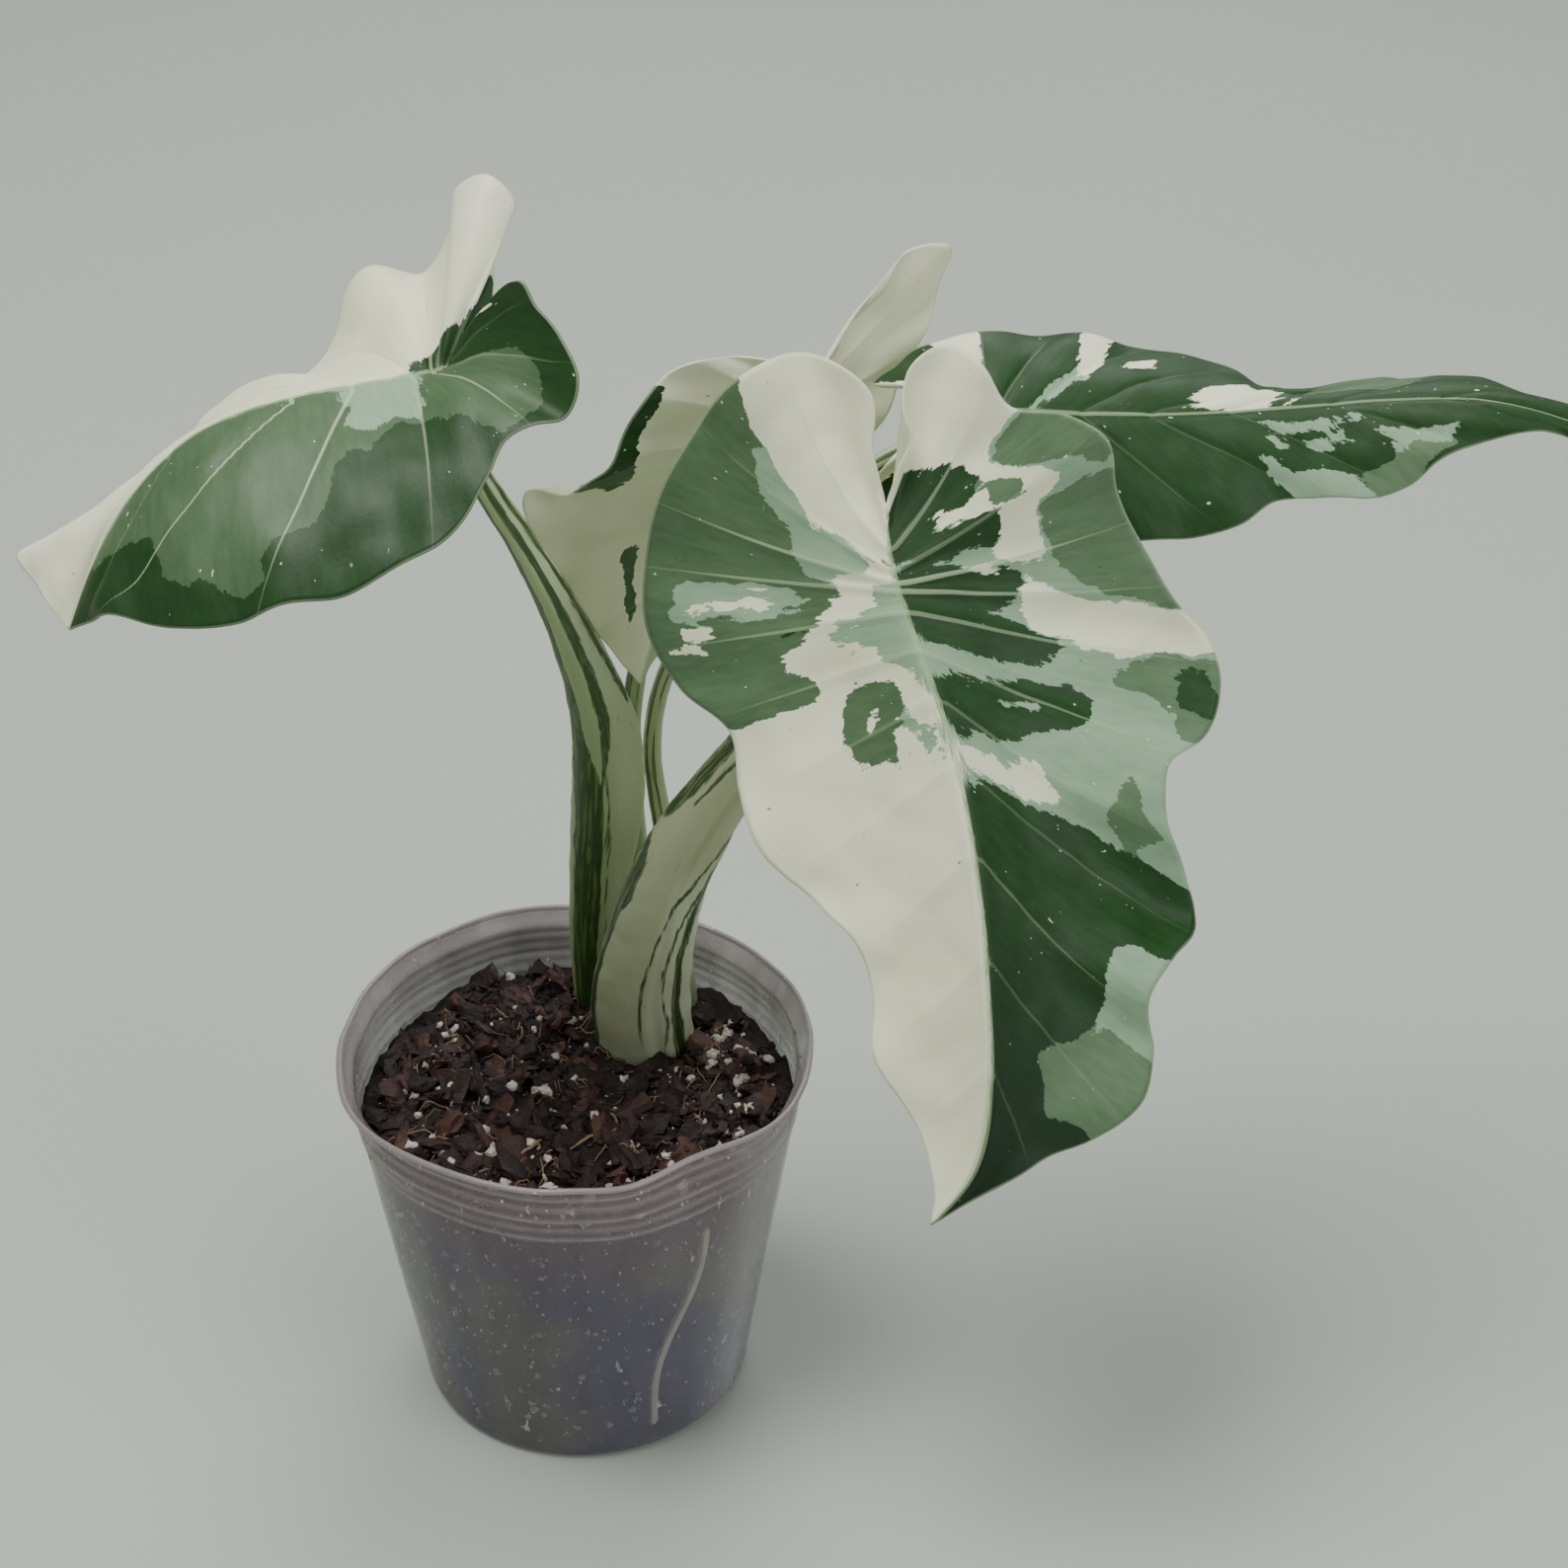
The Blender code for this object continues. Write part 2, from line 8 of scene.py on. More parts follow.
import bmesh
import bpy
import numpy as np
from mathutils import Euler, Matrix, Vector, noise


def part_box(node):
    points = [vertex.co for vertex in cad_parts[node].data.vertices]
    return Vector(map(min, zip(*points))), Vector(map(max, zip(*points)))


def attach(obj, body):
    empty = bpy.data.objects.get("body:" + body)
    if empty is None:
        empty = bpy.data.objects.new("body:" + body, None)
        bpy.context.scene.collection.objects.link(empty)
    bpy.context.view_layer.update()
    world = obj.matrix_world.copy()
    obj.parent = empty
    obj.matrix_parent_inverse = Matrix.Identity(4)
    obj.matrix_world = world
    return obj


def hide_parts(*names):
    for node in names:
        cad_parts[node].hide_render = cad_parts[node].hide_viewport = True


MM = 0.001
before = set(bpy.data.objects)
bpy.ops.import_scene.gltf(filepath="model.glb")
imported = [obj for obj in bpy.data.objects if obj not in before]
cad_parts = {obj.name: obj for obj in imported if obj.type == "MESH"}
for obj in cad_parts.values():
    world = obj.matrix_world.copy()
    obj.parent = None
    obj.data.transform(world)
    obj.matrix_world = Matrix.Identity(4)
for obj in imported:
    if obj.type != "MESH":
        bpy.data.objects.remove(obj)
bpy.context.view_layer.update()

POT_LOW, POT_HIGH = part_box("pot")
MIX_LOW, MIX_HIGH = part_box("potting_mix")
RIM_RADIUS = (POT_HIGH[0] - POT_LOW[0]) / 2
POT_HEIGHT = POT_HIGH[2]
MIX_TOP = MIX_HIGH[2]
MIX_RADIUS = (MIX_HIGH[0] - MIX_LOW[0]) / 2
CORM_LOW, CORM_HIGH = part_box("corm")
CROWN = ((CORM_LOW[0] + CORM_HIGH[0]) / 2, (CORM_LOW[1] + CORM_HIGH[1]) / 2, MIX_TOP)

# The pot: its foot, bead and ridges lie where the model has them, with a thinner wall and softer ridges.
FOOT_RADIUS = 42.5 * MM
RIM_BEAD = 1.3 * MM
WALL = 0.5 * MM
FOOT_ROUNDING = 4 * MM
RIDGE_COUNT = 5
RIDGE_PITCH = 3.2 * MM
RIDGE_DROP = 6 * MM
RIDGE = 0.35 * MM
LIP = 0.8 * MM
LIP_BOTTOM = POT_HEIGHT - 1.9 * LIP
NECK = 1.6 * MM  # how far the wall draws in under the lip
DENTS = 1.5  # the wall's broad dents, its flutes and the lip's waves, in millimetres
FLUTES = 0.55
LIP_WAVES = 1.2

# Dents in the soft lip: bearing and half-width in degrees, and how far out in millimetres.
LIP_DENTS = ((-56, 15, -3.6), (-27, 13, 2.0), (-150, 20, 1.5), (75, 25, -1.5))

# Where the wall is cloudier: bearing and half-width in degrees.
HAZED = ((-28, 16), (-172, 18), (100, 40))

# Each leaf: the midrib from the bottom of the basal notch to the tip, and each half's margin from the notch
# round its basal lobe to the tip. The top of the left leaf's left lobe is more pointed than the model's.
# Most points here and in PETIOLES, and many in PATCHES, were worked out by tracing programs and typed in, so
# they are data and not a design. This stands as an open failure.
LEAVES = {
    "front": {
        "midrib": [
            (61, -37, 173), (62, -43, 162), (67, -53, 149), (75, -66, 131), (81, -83, 107),
            (84, -97, 82), (85, -104, 62), (81, -109, 37), (72, -111, 24),
        ],
        "left": [
            (58, -33, 186), (57, -29, 196), (43, -23, 204), (27, -29, 200), (17, -31, 187),
            (9, -33, 171), (6, -36, 156), (7, -43, 142), (14, -47, 130), (25, -51, 122), (27, -58, 110),
            (33, -65, 97), (46, -73, 87), (55, -79, 81), (58, -84, 71), (59, -91, 59), (66, -97, 48),
            (71, -103, 38), (73, -107, 30),
        ],
        "right": [
            (64, -35, 181), (67, -31, 187), (65, -28, 193), (66, -24, 200), (75, -19, 204),
            (82, -22, 201), (89, -24, 191), (102, -26, 190), (111, -28, 185), (114, -29, 173),
            (122, -31, 157), (129, -33, 145), (137, -35, 137), (140, -39, 128), (136, -46, 117),
            (128, -54, 115), (127, -60, 103), (132, -62, 89), (135, -66, 77), (128, -76, 75),
            (122, -83, 70), (124, -85, 55), (121, -91, 45), (111, -97, 39), (96, -103, 36),
            (83, -109, 31),
        ],
        "fold": {"left": (0.11, 0.36), "right": (0.11, 0.36)},
        "swell": {"left": 0.07, "right": 0.07},
    },
    "left": {
        "midrib": [
            (-34, -31, 204), (-39, -33, 204), (-61, -39, 203), (-73, -43, 202), (-91, -47, 196),
            (-107, -51, 181), (-117, -57, 164), (-121, -61, 154),
        ],
        "left": [
            (-26, -33, 209), (-21, -35, 216), (-23, -37, 224), (-18, -41, 229), (-16, -43, 226),
            (-13, -46, 224), (-9, -51, 219), (-6, -56, 214), (-9, -59, 206), (-22, -64, 202),
            (-25, -69, 197), (-30, -75, 189), (-40, -81, 183), (-55, -86, 177), (-68, -86, 174),
            (-78, -85, 170), (-88, -83, 167), (-100, -77, 165), (-108, -72, 164), (-115, -66, 159),
        ],
        "right": [
            (-27, -25, 211), (-27, -17, 218), (-26, -9, 226), (-22, -5, 232), (-29, -1, 237),
            (-35, 1, 234), (-38, 5, 221), (-45, 7, 210), (-57, 7, 211), (-63, 5, 205), (-66, 3, 197),
            (-74, -5, 188), (-88, -9, 189), (-95, -15, 183), (-108, -23, 168), (-119, -35, 163),
            (-128, -41, 165), (-134, -45, 164), (-130, -51, 161),
        ],
        "fold": {"left": (0.06, 0.38), "right": (0.06, 0.38)},
        "swell": {"left": 0.08, "right": 0.05},
    },
    "back": {
        "midrib": [(44, -1, 184), (39, -3, 173), (28, -3, 158), (16, -3, 141), (7, -4, 120), (3, -5, 106)],
        "left": [
            (37, -1, 191), (28, -3, 193), (17, -7, 194), (12, -9, 192), (7, -10, 188), (1, -11, 178),
            (-5, -11, 166), (-13, -9, 161), (-23, -7, 159), (-20, -5, 144), (-9, -3, 122),
        ],
        "right": [
            (51, 7, 192), (58, 11, 200), (67, 15, 212), (76, 19, 212), (75, 19, 201), (72, 16, 192),
            (66, 11, 180), (59, 7, 168), (49, 4, 156), (33, 1, 140), (15, -1, 122), (6, -3, 112),
        ],
        "fold": {"left": (0.14, 0.4), "right": (0.14, 0.5)},
        "swell": {"left": 0.04, "right": 0.04},
    },
    "right": {
        "midrib": [
            (78, -9, 183), (85, -9, 183), (108, -7, 181), (131, -5, 180), (154, -4, 181),
            (177, -4, 183), (200, -6, 184), (220, -9, 180), (237, -13, 173),
        ],
        "left": [
            (74, -6, 184), (67, -2, 185), (59, 0, 186), (64, 4, 187), (68, 8, 189), (75, 12, 191),
            (84, 15, 190), (100, 19, 188), (119, 21, 186), (134, 19, 183), (145, 16, 182),
            (152, 9, 179), (165, 7, 181), (179, 9, 181), (197, 9, 182), (211, 3, 182), (223, -5, 180),
        ],
        "right": [
            (71, -12, 180), (63, -16, 174), (58, -17, 166), (62, -20, 159), (76, -22, 155),
            (92, -23, 155), (108, -23, 155), (123, -23, 156), (134, -23, 157), (144, -21, 159),
            (152, -17, 163), (163, -17, 164), (177, -18, 165), (184, -17, 168), (189, -15, 172),
            (199, -13, 176), (213, -11, 178), (226, -12, 175),
        ],
        "fold": {"left": (0.05, 0.25), "right": (0.05, 0.25)},
        "swell": {"left": 0.05, "right": 0.05},
    },
}

# Variegation. Each patch is its side, its tone and its outline as (along, across): along runs 0 to 1 from the
# notch to the tip, following the side veins, and across runs 0 to 1 from the midrib to the margin. Two points
# are the corners of a block, and later patches lie over earlier ones.
CREAM, PALE, GREEN, DARK = 0, 1, 2, 3
PATCHES = {
    "front": {
        "ground": {"left": CREAM, "right": PALE},
        "patches": [
            ("left", GREEN, [
                (0.20, 1.1), (0.22, 0.86), (0.23, 0.73), (0.245, 0.62), (0.25, 0.53), (0.27, 0.43),
                (0.32, 0.37), (0.365, 0.37), (0.37, 0.29), (0.395, 0.24), (0.43, 0.31), (0.45, 0.42),
                (0.47, 0.50), (0.485, 0.57), (0.515, 0.51), (0.535, 0.54), (0.54, 0.65), (0.545, 0.92),
                (0.54, 1.1),
            ]),
            ("left", PALE, [
                (0.241, 0.76), (0.274, 0.63), (0.299, 0.46), (0.35, 0.40), (0.37, 0.28), (0.34, 0.16),
                (0.29, 0.08), (0.27, 0.20), (0.278, 0.39), (0.245, 0.59), (0.236, 0.71),
            ]),
            ("left", PALE, [(0.395, 0.86), (0.39, 0.45), (0.415, 0.36), (0.434, 0.60), (0.43, 0.90)]),
            ("left", CREAM, [(0.415, 0.83), (0.412, 0.52), (0.424, 0.50), (0.425, 0.80)]),
            ("left", CREAM, [(0.438, 0.87), (0.440, 0.77), (0.447, 0.77), (0.446, 0.88)]),
            ("left", CREAM, [(0.455, 0.94), (0.456, 0.82), (0.463, 0.82), (0.462, 0.96)]),
            ("left", PALE, [(0.43, 0.04), (0.44, 0.28), (0.475, 0.33), (0.49, 0.20), (0.56, 0.04)]),
            ("left", PALE, [(0.35, -0.1), (0.36, 0.11), (0.44, 0.10), (0.52, 0.05), (0.57, -0.1)]),
            ("left", GREEN, [
                (0.535, 0.36), (0.54, 0.17), (0.575, 0.16), (0.592, 0.26), (0.62, 0.26), (0.608, 0.45),
                (0.588, 0.50), (0.55, 0.47),
            ]),
            ("left", CREAM, [(0.564, 0.30), (0.578, 0.31), (0.582, 0.37), (0.57, 0.36)]),
            ("left", PALE, [(0.585, 0.17), (0.60, 0.04), (0.625, 0.04), (0.62, 0.13)]),
            ("right", CREAM, [
                (-0.1, -0.1), (-0.1, 1.1), (0.20, 1.1), (0.20, 0.77), (0.22, 0.66), (0.245, 0.71),
                (0.27, 0.77), (0.29, 0.66), (0.32, 0.66), (0.345, 0.62), (0.34, 0.48), (0.27, 0.30),
                (0.20, -0.1),
            ]),
            ("right", DARK, [
                (0.03, -0.1), (0.08, 0.20), (0.11, 0.27), (0.16, 0.42), (0.195, 0.61), (0.22, 0.56),
                (0.25, 0.40), (0.225, 0.30), (0.245, 0.22), (0.26, 0.36), (0.275, 0.49), (0.30, 0.50),
                (0.312, 0.44), (0.30, 0.25), (0.28, 0.05), (0.27, -0.1),
            ]),
            ("right", DARK, [
                (0.29, -0.1), (0.295, 0.06), (0.315, 0.24), (0.345, 0.51), (0.37, 0.53), (0.39, 0.46),
                (0.415, 0.28), (0.435, 0.46), (0.452, 0.55), (0.473, 0.46), (0.485, 0.25), (0.49, 0.09),
                (0.49, -0.1),
            ]),
            ("right", DARK, [
                (0.525, -0.1), (0.535, 0.02), (0.51, 0.25), (0.49, 0.53), (0.498, 0.63), (0.535, 0.64),
                (0.562, 0.43), (0.605, 0.05), (0.60, -0.1),
            ]),
            ("right", GREEN, [
                (0.207, 0.77), (0.203, 0.90), (0.21, 1.1), (0.27, 1.1), (0.278, 0.97), (0.25, 0.73),
                (0.24, 0.68), (0.22, 0.65),
            ]),
            ("right", GREEN, [
                (0.282, 0.78), (0.29, 1.1), (0.40, 1.1), (0.41, 1.0), (0.386, 0.78), (0.353, 0.67),
                (0.32, 0.67), (0.286, 0.66),
            ]),
            ("right", GREEN, [(0.228, 0.52), (0.253, 0.64), (0.27, 0.62), (0.262, 0.49)]),
            ("right", CREAM, [
                (0.352, 0.54), (0.378, 0.60), (0.395, 0.72), (0.402, 0.92), (0.41, 1.1), (0.45, 1.1),
                (0.448, 0.97), (0.457, 0.75), (0.449, 0.60), (0.438, 0.44), (0.41, 0.44),
            ]),
            ("right", GREEN, [
                (0.475, 0.66), (0.453, 0.80), (0.452, 0.97), (0.46, 1.1), (0.52, 1.1), (0.519, 0.95),
                (0.487, 0.81), (0.487, 0.68),
            ]),
            ("right", DARK, [(0.463, 0.86), (0.462, 0.96), (0.50, 1.02), (0.49, 0.88)]),
            ("right", CREAM, [
                (0.615, 0.04), (0.60, 0.30), (0.585, 0.46), (0.61, 0.54), (0.627, 0.44), (0.64, 0.20),
                (0.645, 0.04),
            ]),
            ("right", GREEN, [(0.564, 0.87), (0.577, 0.80), (0.61, 0.71), (0.631, 0.78), (0.606, 0.95)]),
            ("right", DARK, [
                (0.65, -0.1), (0.648, 0.05), (0.64, 0.22), (0.632, 0.39), (0.628, 0.63), (0.632, 0.78),
                (0.64, 0.94), (0.65, 1.1), (0.70, 1.1), (0.714, 0.96), (0.71, 0.85), (0.722, 0.77),
                (0.755, 0.78), (0.788, 0.70), (0.818, 0.61), (0.842, 0.42), (0.876, 0.66), (0.863, 0.90),
                (0.87, 1.1), (1.1, 1.1), (1.1, -0.1),
            ]),
            ("right", CREAM, [(0.333, 0.28), (0.342, 0.42), (0.350, 0.42), (0.342, 0.28)]),
            ("right", PALE, [(0.535, 0.30), (0.520, 0.46), (0.530, 0.48), (0.545, 0.32)]),
            ("right", GREEN, [
                (0.79, 0.76), (0.815, 0.60), (0.842, 0.44), (0.874, 0.62), (0.864, 0.88), (0.87, 1.1),
                (0.80, 1.1),
            ]),
        ],
        "mottled": [("left", 0.38, 0.50, 0.1, 0.9), ("right", 0.34, 0.50, 0.45, 1.0)],
    },
    "left": {
        "ground": {"left": DARK, "right": CREAM},
        "patches": [
            ("left", GREEN, [
                (0.29, -0.1), (0.27, 0.30), (0.26, 0.62), (0.285, 0.72), (0.34, 0.86), (0.373, 0.93),
                (0.39, 0.95), (0.42, 0.60), (0.47, 0.43), (0.52, 0.32), (0.55, 0.38), (0.573, 0.44),
                (0.60, 0.38), (0.622, 0.47), (0.631, 0.59), (0.65, 0.68), (0.70, 0.71), (0.718, 0.78),
                (0.714, 0.87), (0.74, 0.90), (0.78, 0.77), (0.80, 0.80), (0.82, 0.72), (0.826, 0.59),
                (0.834, 0.47), (0.885, 0.43), (0.92, 0.36), (0.98, 0.08), (1.0, -0.1),
            ]),
            ("left", PALE, [
                (0.43, -0.1), (0.44, 0.10), (0.47, 0.30), (0.49, 0.36), (0.52, 0.28), (0.56, 0.33),
                (0.593, 0.27), (0.60, -0.1),
            ]),
            ("left", CREAM, [(0.10, 0.45), (0.13, 0.62), (0.17, 0.66), (0.15, 0.50)]),
            ("right", DARK, [
                (-0.1, -0.1), (-0.1, 1.1), (0.08, 1.1), (0.14, 0.70), (0.17, 0.45), (0.20, 0.24),
                (0.28, 0.17), (0.40, 0.11), (0.47, 0.03), (0.47, -0.1),
            ]),
        ],
        "mottled": [("left", 0.24, 0.36, 0.3, 0.7)],
    },
    "back": {
        "ground": {"left": CREAM, "right": CREAM},
        "patches": [
            ("left", DARK, [
                (0.278, 1.1), (0.278, 0.95), (0.31, 0.90), (0.344, 0.88), (0.407, 0.88), (0.50, 0.74),
                (0.598, 0.57), (0.612, 0.62), (0.55, 0.84), (0.48, 1.1),
            ]),
            ("left", GREEN, [(0.45, 0.86), (0.598, 0.57), (0.614, 0.63), (0.54, 0.87), (0.49, 0.98)]),
            ("left", GREEN, [(0.74, 0.55), (0.75, 0.46), (0.87, 0.46), (0.90, 0.56)]),
            ("right", GREEN, [(0.60, 0.10), (0.95, 0.80)]),
            ("right", PALE, [(0.55, 0.50), (0.70, 0.90)]),
        ],
        "mottled": [],
    },
    "right": {
        "ground": {"left": DARK, "right": DARK},
        "patches": [
            ("left", CREAM, [(-0.1, -0.1), (0.235, 1.1)]),
            ("left", DARK, [(0.10, 0.55), (0.18, 1.1)]),
            ("left", PALE, [
                (0.355, 0.0), (0.378, 0.23), (0.392, 0.45), (0.415, 0.36), (0.40, 0.20), (0.38, 0.0),
            ]),
            ("left", CREAM, [
                (0.354, 1.1), (0.362, 0.85), (0.382, 0.62), (0.392, 0.50), (0.404, 0.42), (0.418, 0.36),
                (0.411, 0.57), (0.40, 0.78), (0.392, 0.97), (0.39, 1.1),
            ]),
            ("left", CREAM, [(0.44, 0.68), (0.461, 0.79), (0.474, 0.64), (0.452, 0.57)]),
            ("left", CREAM, [
                (0.556, 0.46), (0.552, 0.65), (0.568, 0.84), (0.61, 0.62), (0.685, 0.24), (0.70, -0.02),
                (0.651, -0.02), (0.598, 0.12),
            ]),
            ("left", GREEN, [(0.68, 0.30), (0.78, 1.1)]),
            ("right", CREAM, [(-0.1, -0.1), (0.13, 1.1)]),
            ("right", CREAM, [(0.26, 0.20), (0.36, 0.80)]),
            ("right", PALE, [
                (0.625, 0.50), (0.640, 0.52), (0.642, 0.72), (0.672, 0.68), (0.70, 0.76), (0.705, 1.1),
                (0.62, 1.1), (0.61, 0.80),
            ]),
            ("right", PALE, [
                (0.764, 0.42), (0.776, 0.48), (0.79, 0.56), (0.83, 0.56), (0.80, 0.87), (0.76, 0.93),
                (0.73, 1.1), (0.705, 1.1), (0.714, 0.76), (0.751, 0.75), (0.764, 0.57),
            ]),
            ("right", GREEN, [
                (0.75, 0.76), (0.775, 0.66), (0.80, 0.85), (0.76, 0.93), (0.73, 1.1), (0.705, 1.1),
                (0.714, 0.76),
            ]),
            ("right", PALE, [(0.672, 0.15), (0.684, 0.26)]),
            ("right", PALE, [(0.700, 0.20), (0.716, 0.28)]),
            ("right", PALE, [(0.718, 0.32), (0.730, 0.46)]),
            ("right", PALE, [(0.690, 0.38), (0.704, 0.50)]),
            ("right", PALE, [(0.736, 0.16), (0.750, 0.24)]),
            ("right", PALE, [(0.652, 0.32), (0.664, 0.46)]),
        ],
        "mottled": [],
    },
}

# The side veins of each half: where each leaves the midrib and where it meets the margin, both as along, and
# how clearly its pale line shows.
VEINS = {
    "front": [
        (0.11, 0.09, 0), (0.21, 0.17, 0.5), (0.29, 0.255, 0.3), (0.345, 0.33, 0.9), (0.385, 0.385, 0.7),
        (0.44, 0.455, 0.5), (0.505, 0.53, 0.4), (0.57, 0.605, 0.25), (0.64, 0.68, 0.15), (0.72, 0.765, 0.25),
        (0.80, 0.845, 0.15), (0.88, 0.92, 0.1),
    ],
    "left": [
        (0.11, 0.09, 0), (0.20, 0.18, 0.1), (0.28, 0.27, 0.3), (0.36, 0.365, 0.7), (0.455, 0.53, 0.5),
        (0.567, 0.725, 1), (0.64, 0.94, 1), (0.80, 0.975, 0.2),
    ],
    "back": [
        (0.10, 0.09, 0), (0.20, 0.20, 0), (0.30, 0.30, 0.2), (0.42, 0.42, 0.2), (0.56, 0.58, 0.2),
        (0.70, 0.74, 0.1), (0.84, 0.88, 0.1),
    ],
    "right": [
        (0.08, 0.06, 0), (0.16, 0.15, 0.1), (0.23, 0.24, 0.4), (0.29, 0.33, 0.15), (0.37, 0.43, 0.12),
        (0.46, 0.53, 0.1), (0.55, 0.63, 0.1), (0.64, 0.73, 0.1), (0.74, 0.82, 0.05), (0.84, 0.90, 0.05),
    ],
}

# Each petiole from the crown up to its leaf: a centre point, half its width, and half its depth.
PETIOLES = {
    "left": [
        ((-10, 7, -4), 6.6, 6), ((-11, 5, 20), 7, 6), ((-9, 2, 47), 8, 6), ((-6, -4, 75), 9.2, 6),
        ((-6, -11, 99), 8.2, 5.2), ((-10, -17, 120), 6.2, 4.6), ((-16, -23, 141), 4.6, 4),
        ((-23, -27, 159), 3.6, 3.4), ((-30, -30, 174), 3, 3), ((-36, -32, 190), 2.6, 2.6),
        ((-39, -33, 203), 2, 2),
    ],
    "front": [
        ((2, -7, -4), 13, 8), ((1, -10, 17), 12.6, 7.5), ((4, -12, 35), 11.4, 7.5),
        ((9, -15, 55), 10, 7), ((17, -18, 74), 8.8, 6.5), ((27, -21, 92), 7.4, 6),
        ((39, -27, 115), 5.6, 5), ((52, -32, 139), 4.2, 4), ((60, -38, 155), 3, 3),
        ((62, -42.5, 162), 2, 2),
    ],
    "back": [
        ((2, 12, -4), 3.5, 3.5), ((0, 13, 36), 3.4, 3.4), ((-1, 10, 68), 3, 3), ((0, 6, 93), 2.6, 2.6),
        ((3, 5, 110), 2.4, 2.4), ((13, 8, 134), 2.4, 2.4), ((25, 9, 153), 2.3, 2.3),
        ((35, 5, 167), 2, 2), ((39, -2.5, 173), 1.6, 1.6),
    ],
    "right": [
        ((12, 7, -4), 3.4, 3.4), ((10, 6, 30), 3, 3), ((7, 4, 60), 2.6, 2.6), ((5, 2, 82), 2.3, 2.3),
        ((7, -3, 101), 2.2, 2.2), ((12, -9, 118), 2.2, 2.2), ((25, -13, 140), 2.2, 2.2),
        ((46, -12, 160), 2.2, 2.2), ((65, -7, 171), 2.1, 2.1), ((79, -6, 177), 1.8, 1.8),
        ((85, -8.5, 182.5), 1.5, 1.5),
    ],
}

# Dark bands along the stalks, as (share of the length, place across, half-width), across from -1 to 1.
BANDS = {
    "left": [
        [
            (0.0, -0.45, 0.45), (0.20, -0.35, 0.45), (0.40, -0.55, 0.40), (0.48, -0.80, 0.20),
            (0.60, -0.82, 0.18), (1.0, -0.75, 0.25),
        ],
        [
            (0.34, -0.14, 0.02), (0.42, -0.12, 0.05), (0.50, 0.08, 0.17), (0.60, 0.20, 0.20),
            (0.75, 0.25, 0.22), (1.0, 0.3, 0.3),
        ],
        [(0.10, 0.35, 0.02), (0.25, 0.22, 0.03), (0.38, 0.02, 0.03), (0.42, -0.04, 0.02)],
        [(0.52, 0.93, 0.05), (0.70, 0.90, 0.10), (1.0, 0.90, 0.10)],
    ],
    "front": [
        [
            (0.04, 0.02, 0.03), (0.16, 0.0, 0.035), (0.23, 0.08, 0.035), (0.31, 0.30, 0.04),
            (0.39, 0.68, 0.05), (0.46, 0.97, 0.05),
        ],
        [
            (0.04, 0.45, 0.02), (0.08, 0.56, 0.03), (0.18, 0.40, 0.03), (0.27, 0.53, 0.04),
            (0.35, 0.83, 0.05), (0.41, 1.0, 0.05),
        ],
        [
            (0.0, 0.70, 0.12), (0.07, 0.76, 0.10), (0.21, 0.70, 0.08), (0.31, 0.82, 0.07),
            (0.38, 0.98, 0.06),
        ],
        [
            (0.0, -0.96, 0.05), (0.25, -0.95, 0.05), (0.30, -0.88, 0.12), (0.36, -0.90, 0.10),
            (0.40, -1.0, 0.03),
        ],
        [(0.44, -1.0, 0.04), (0.50, -0.90, 0.12), (0.65, -0.85, 0.16), (1.0, -0.80, 0.20)],
        [(0.49, -0.62, 0.03), (0.56, -0.50, 0.06), (0.62, -0.30, 0.10), (0.70, -0.20, 0.10)],
    ],
    "back": [[(0.0, -0.6, 0.3), (1.0, -0.6, 0.3)], [(0.3, 0.3, 0.1), (1.0, 0.4, 0.15)]],
    "right": [[(0.0, -0.7, 0.15), (1.0, -0.6, 0.25)], [(0.0, 0.1, 0.08), (1.0, 0.3, 0.12)]],
}


# ---------------------------------------------------------------- helpers


def link(name, mesh, *looks):
    made = bpy.data.objects.new(name, mesh)
    bpy.context.scene.collection.objects.link(made)
    for look in looks:
        mesh.materials.append(look)
    return made


def stands_for(piece, node):
    """Puts a piece in the place of one of the model's nodes."""
    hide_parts(node)
    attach(piece, "root")


def polar(radius, bearing, height):
    """A place named by its distance and bearing from the pot's axis."""
    return radius * math.cos(bearing), radius * math.sin(bearing), height


def bearings_round(count):
    return np.arange(count) * math.tau / count


def ring_faces(rows, around, first=0):
    """Faces between rows of points that each run once round, from the point numbered first."""
    faces = []
    for row in range(rows - 1):
        here, below = first + row * around, first + (row + 1) * around
        for a in range(around):
            b = (a + 1) % around
            faces.append((here + a, below + a, below + b, here + b))
    return faces


def mesh_of(name, points, faces, smooth=True):
    mesh = bpy.data.meshes.new(name)
    mesh.from_pydata([tuple(map(float, p)) for p in points], [], faces)
    mesh.validate()
    if smooth:
        mesh.shade_smooth()
    return mesh


def store(mesh, name, values):
    """Keeps a number, or three, at each point for the materials to read."""
    values = np.asarray(values, np.float32)
    kind, field = ("FLOAT_VECTOR", "vector") if values.ndim == 2 else ("FLOAT", "value")
    mesh.attributes.new(name, kind, "POINT").data.foreach_set(field, values.ravel())


def step_up(value, low, high):
    t = np.clip((value - low) / (high - low), 0, 1)
    return t * t * (3 - 2 * t)


def bumpiness(places, scale, seed, octaves=3):
    """Smooth noise of about -1 to 1 at each place, with features of about 1 / scale."""
    shift = Vector((17.3 * seed, -9.1 * seed, 5.7 * seed))
    return np.array([noise.fractal(Vector(p) * scale + shift, 0.6, 2.0, octaves) for p in places])


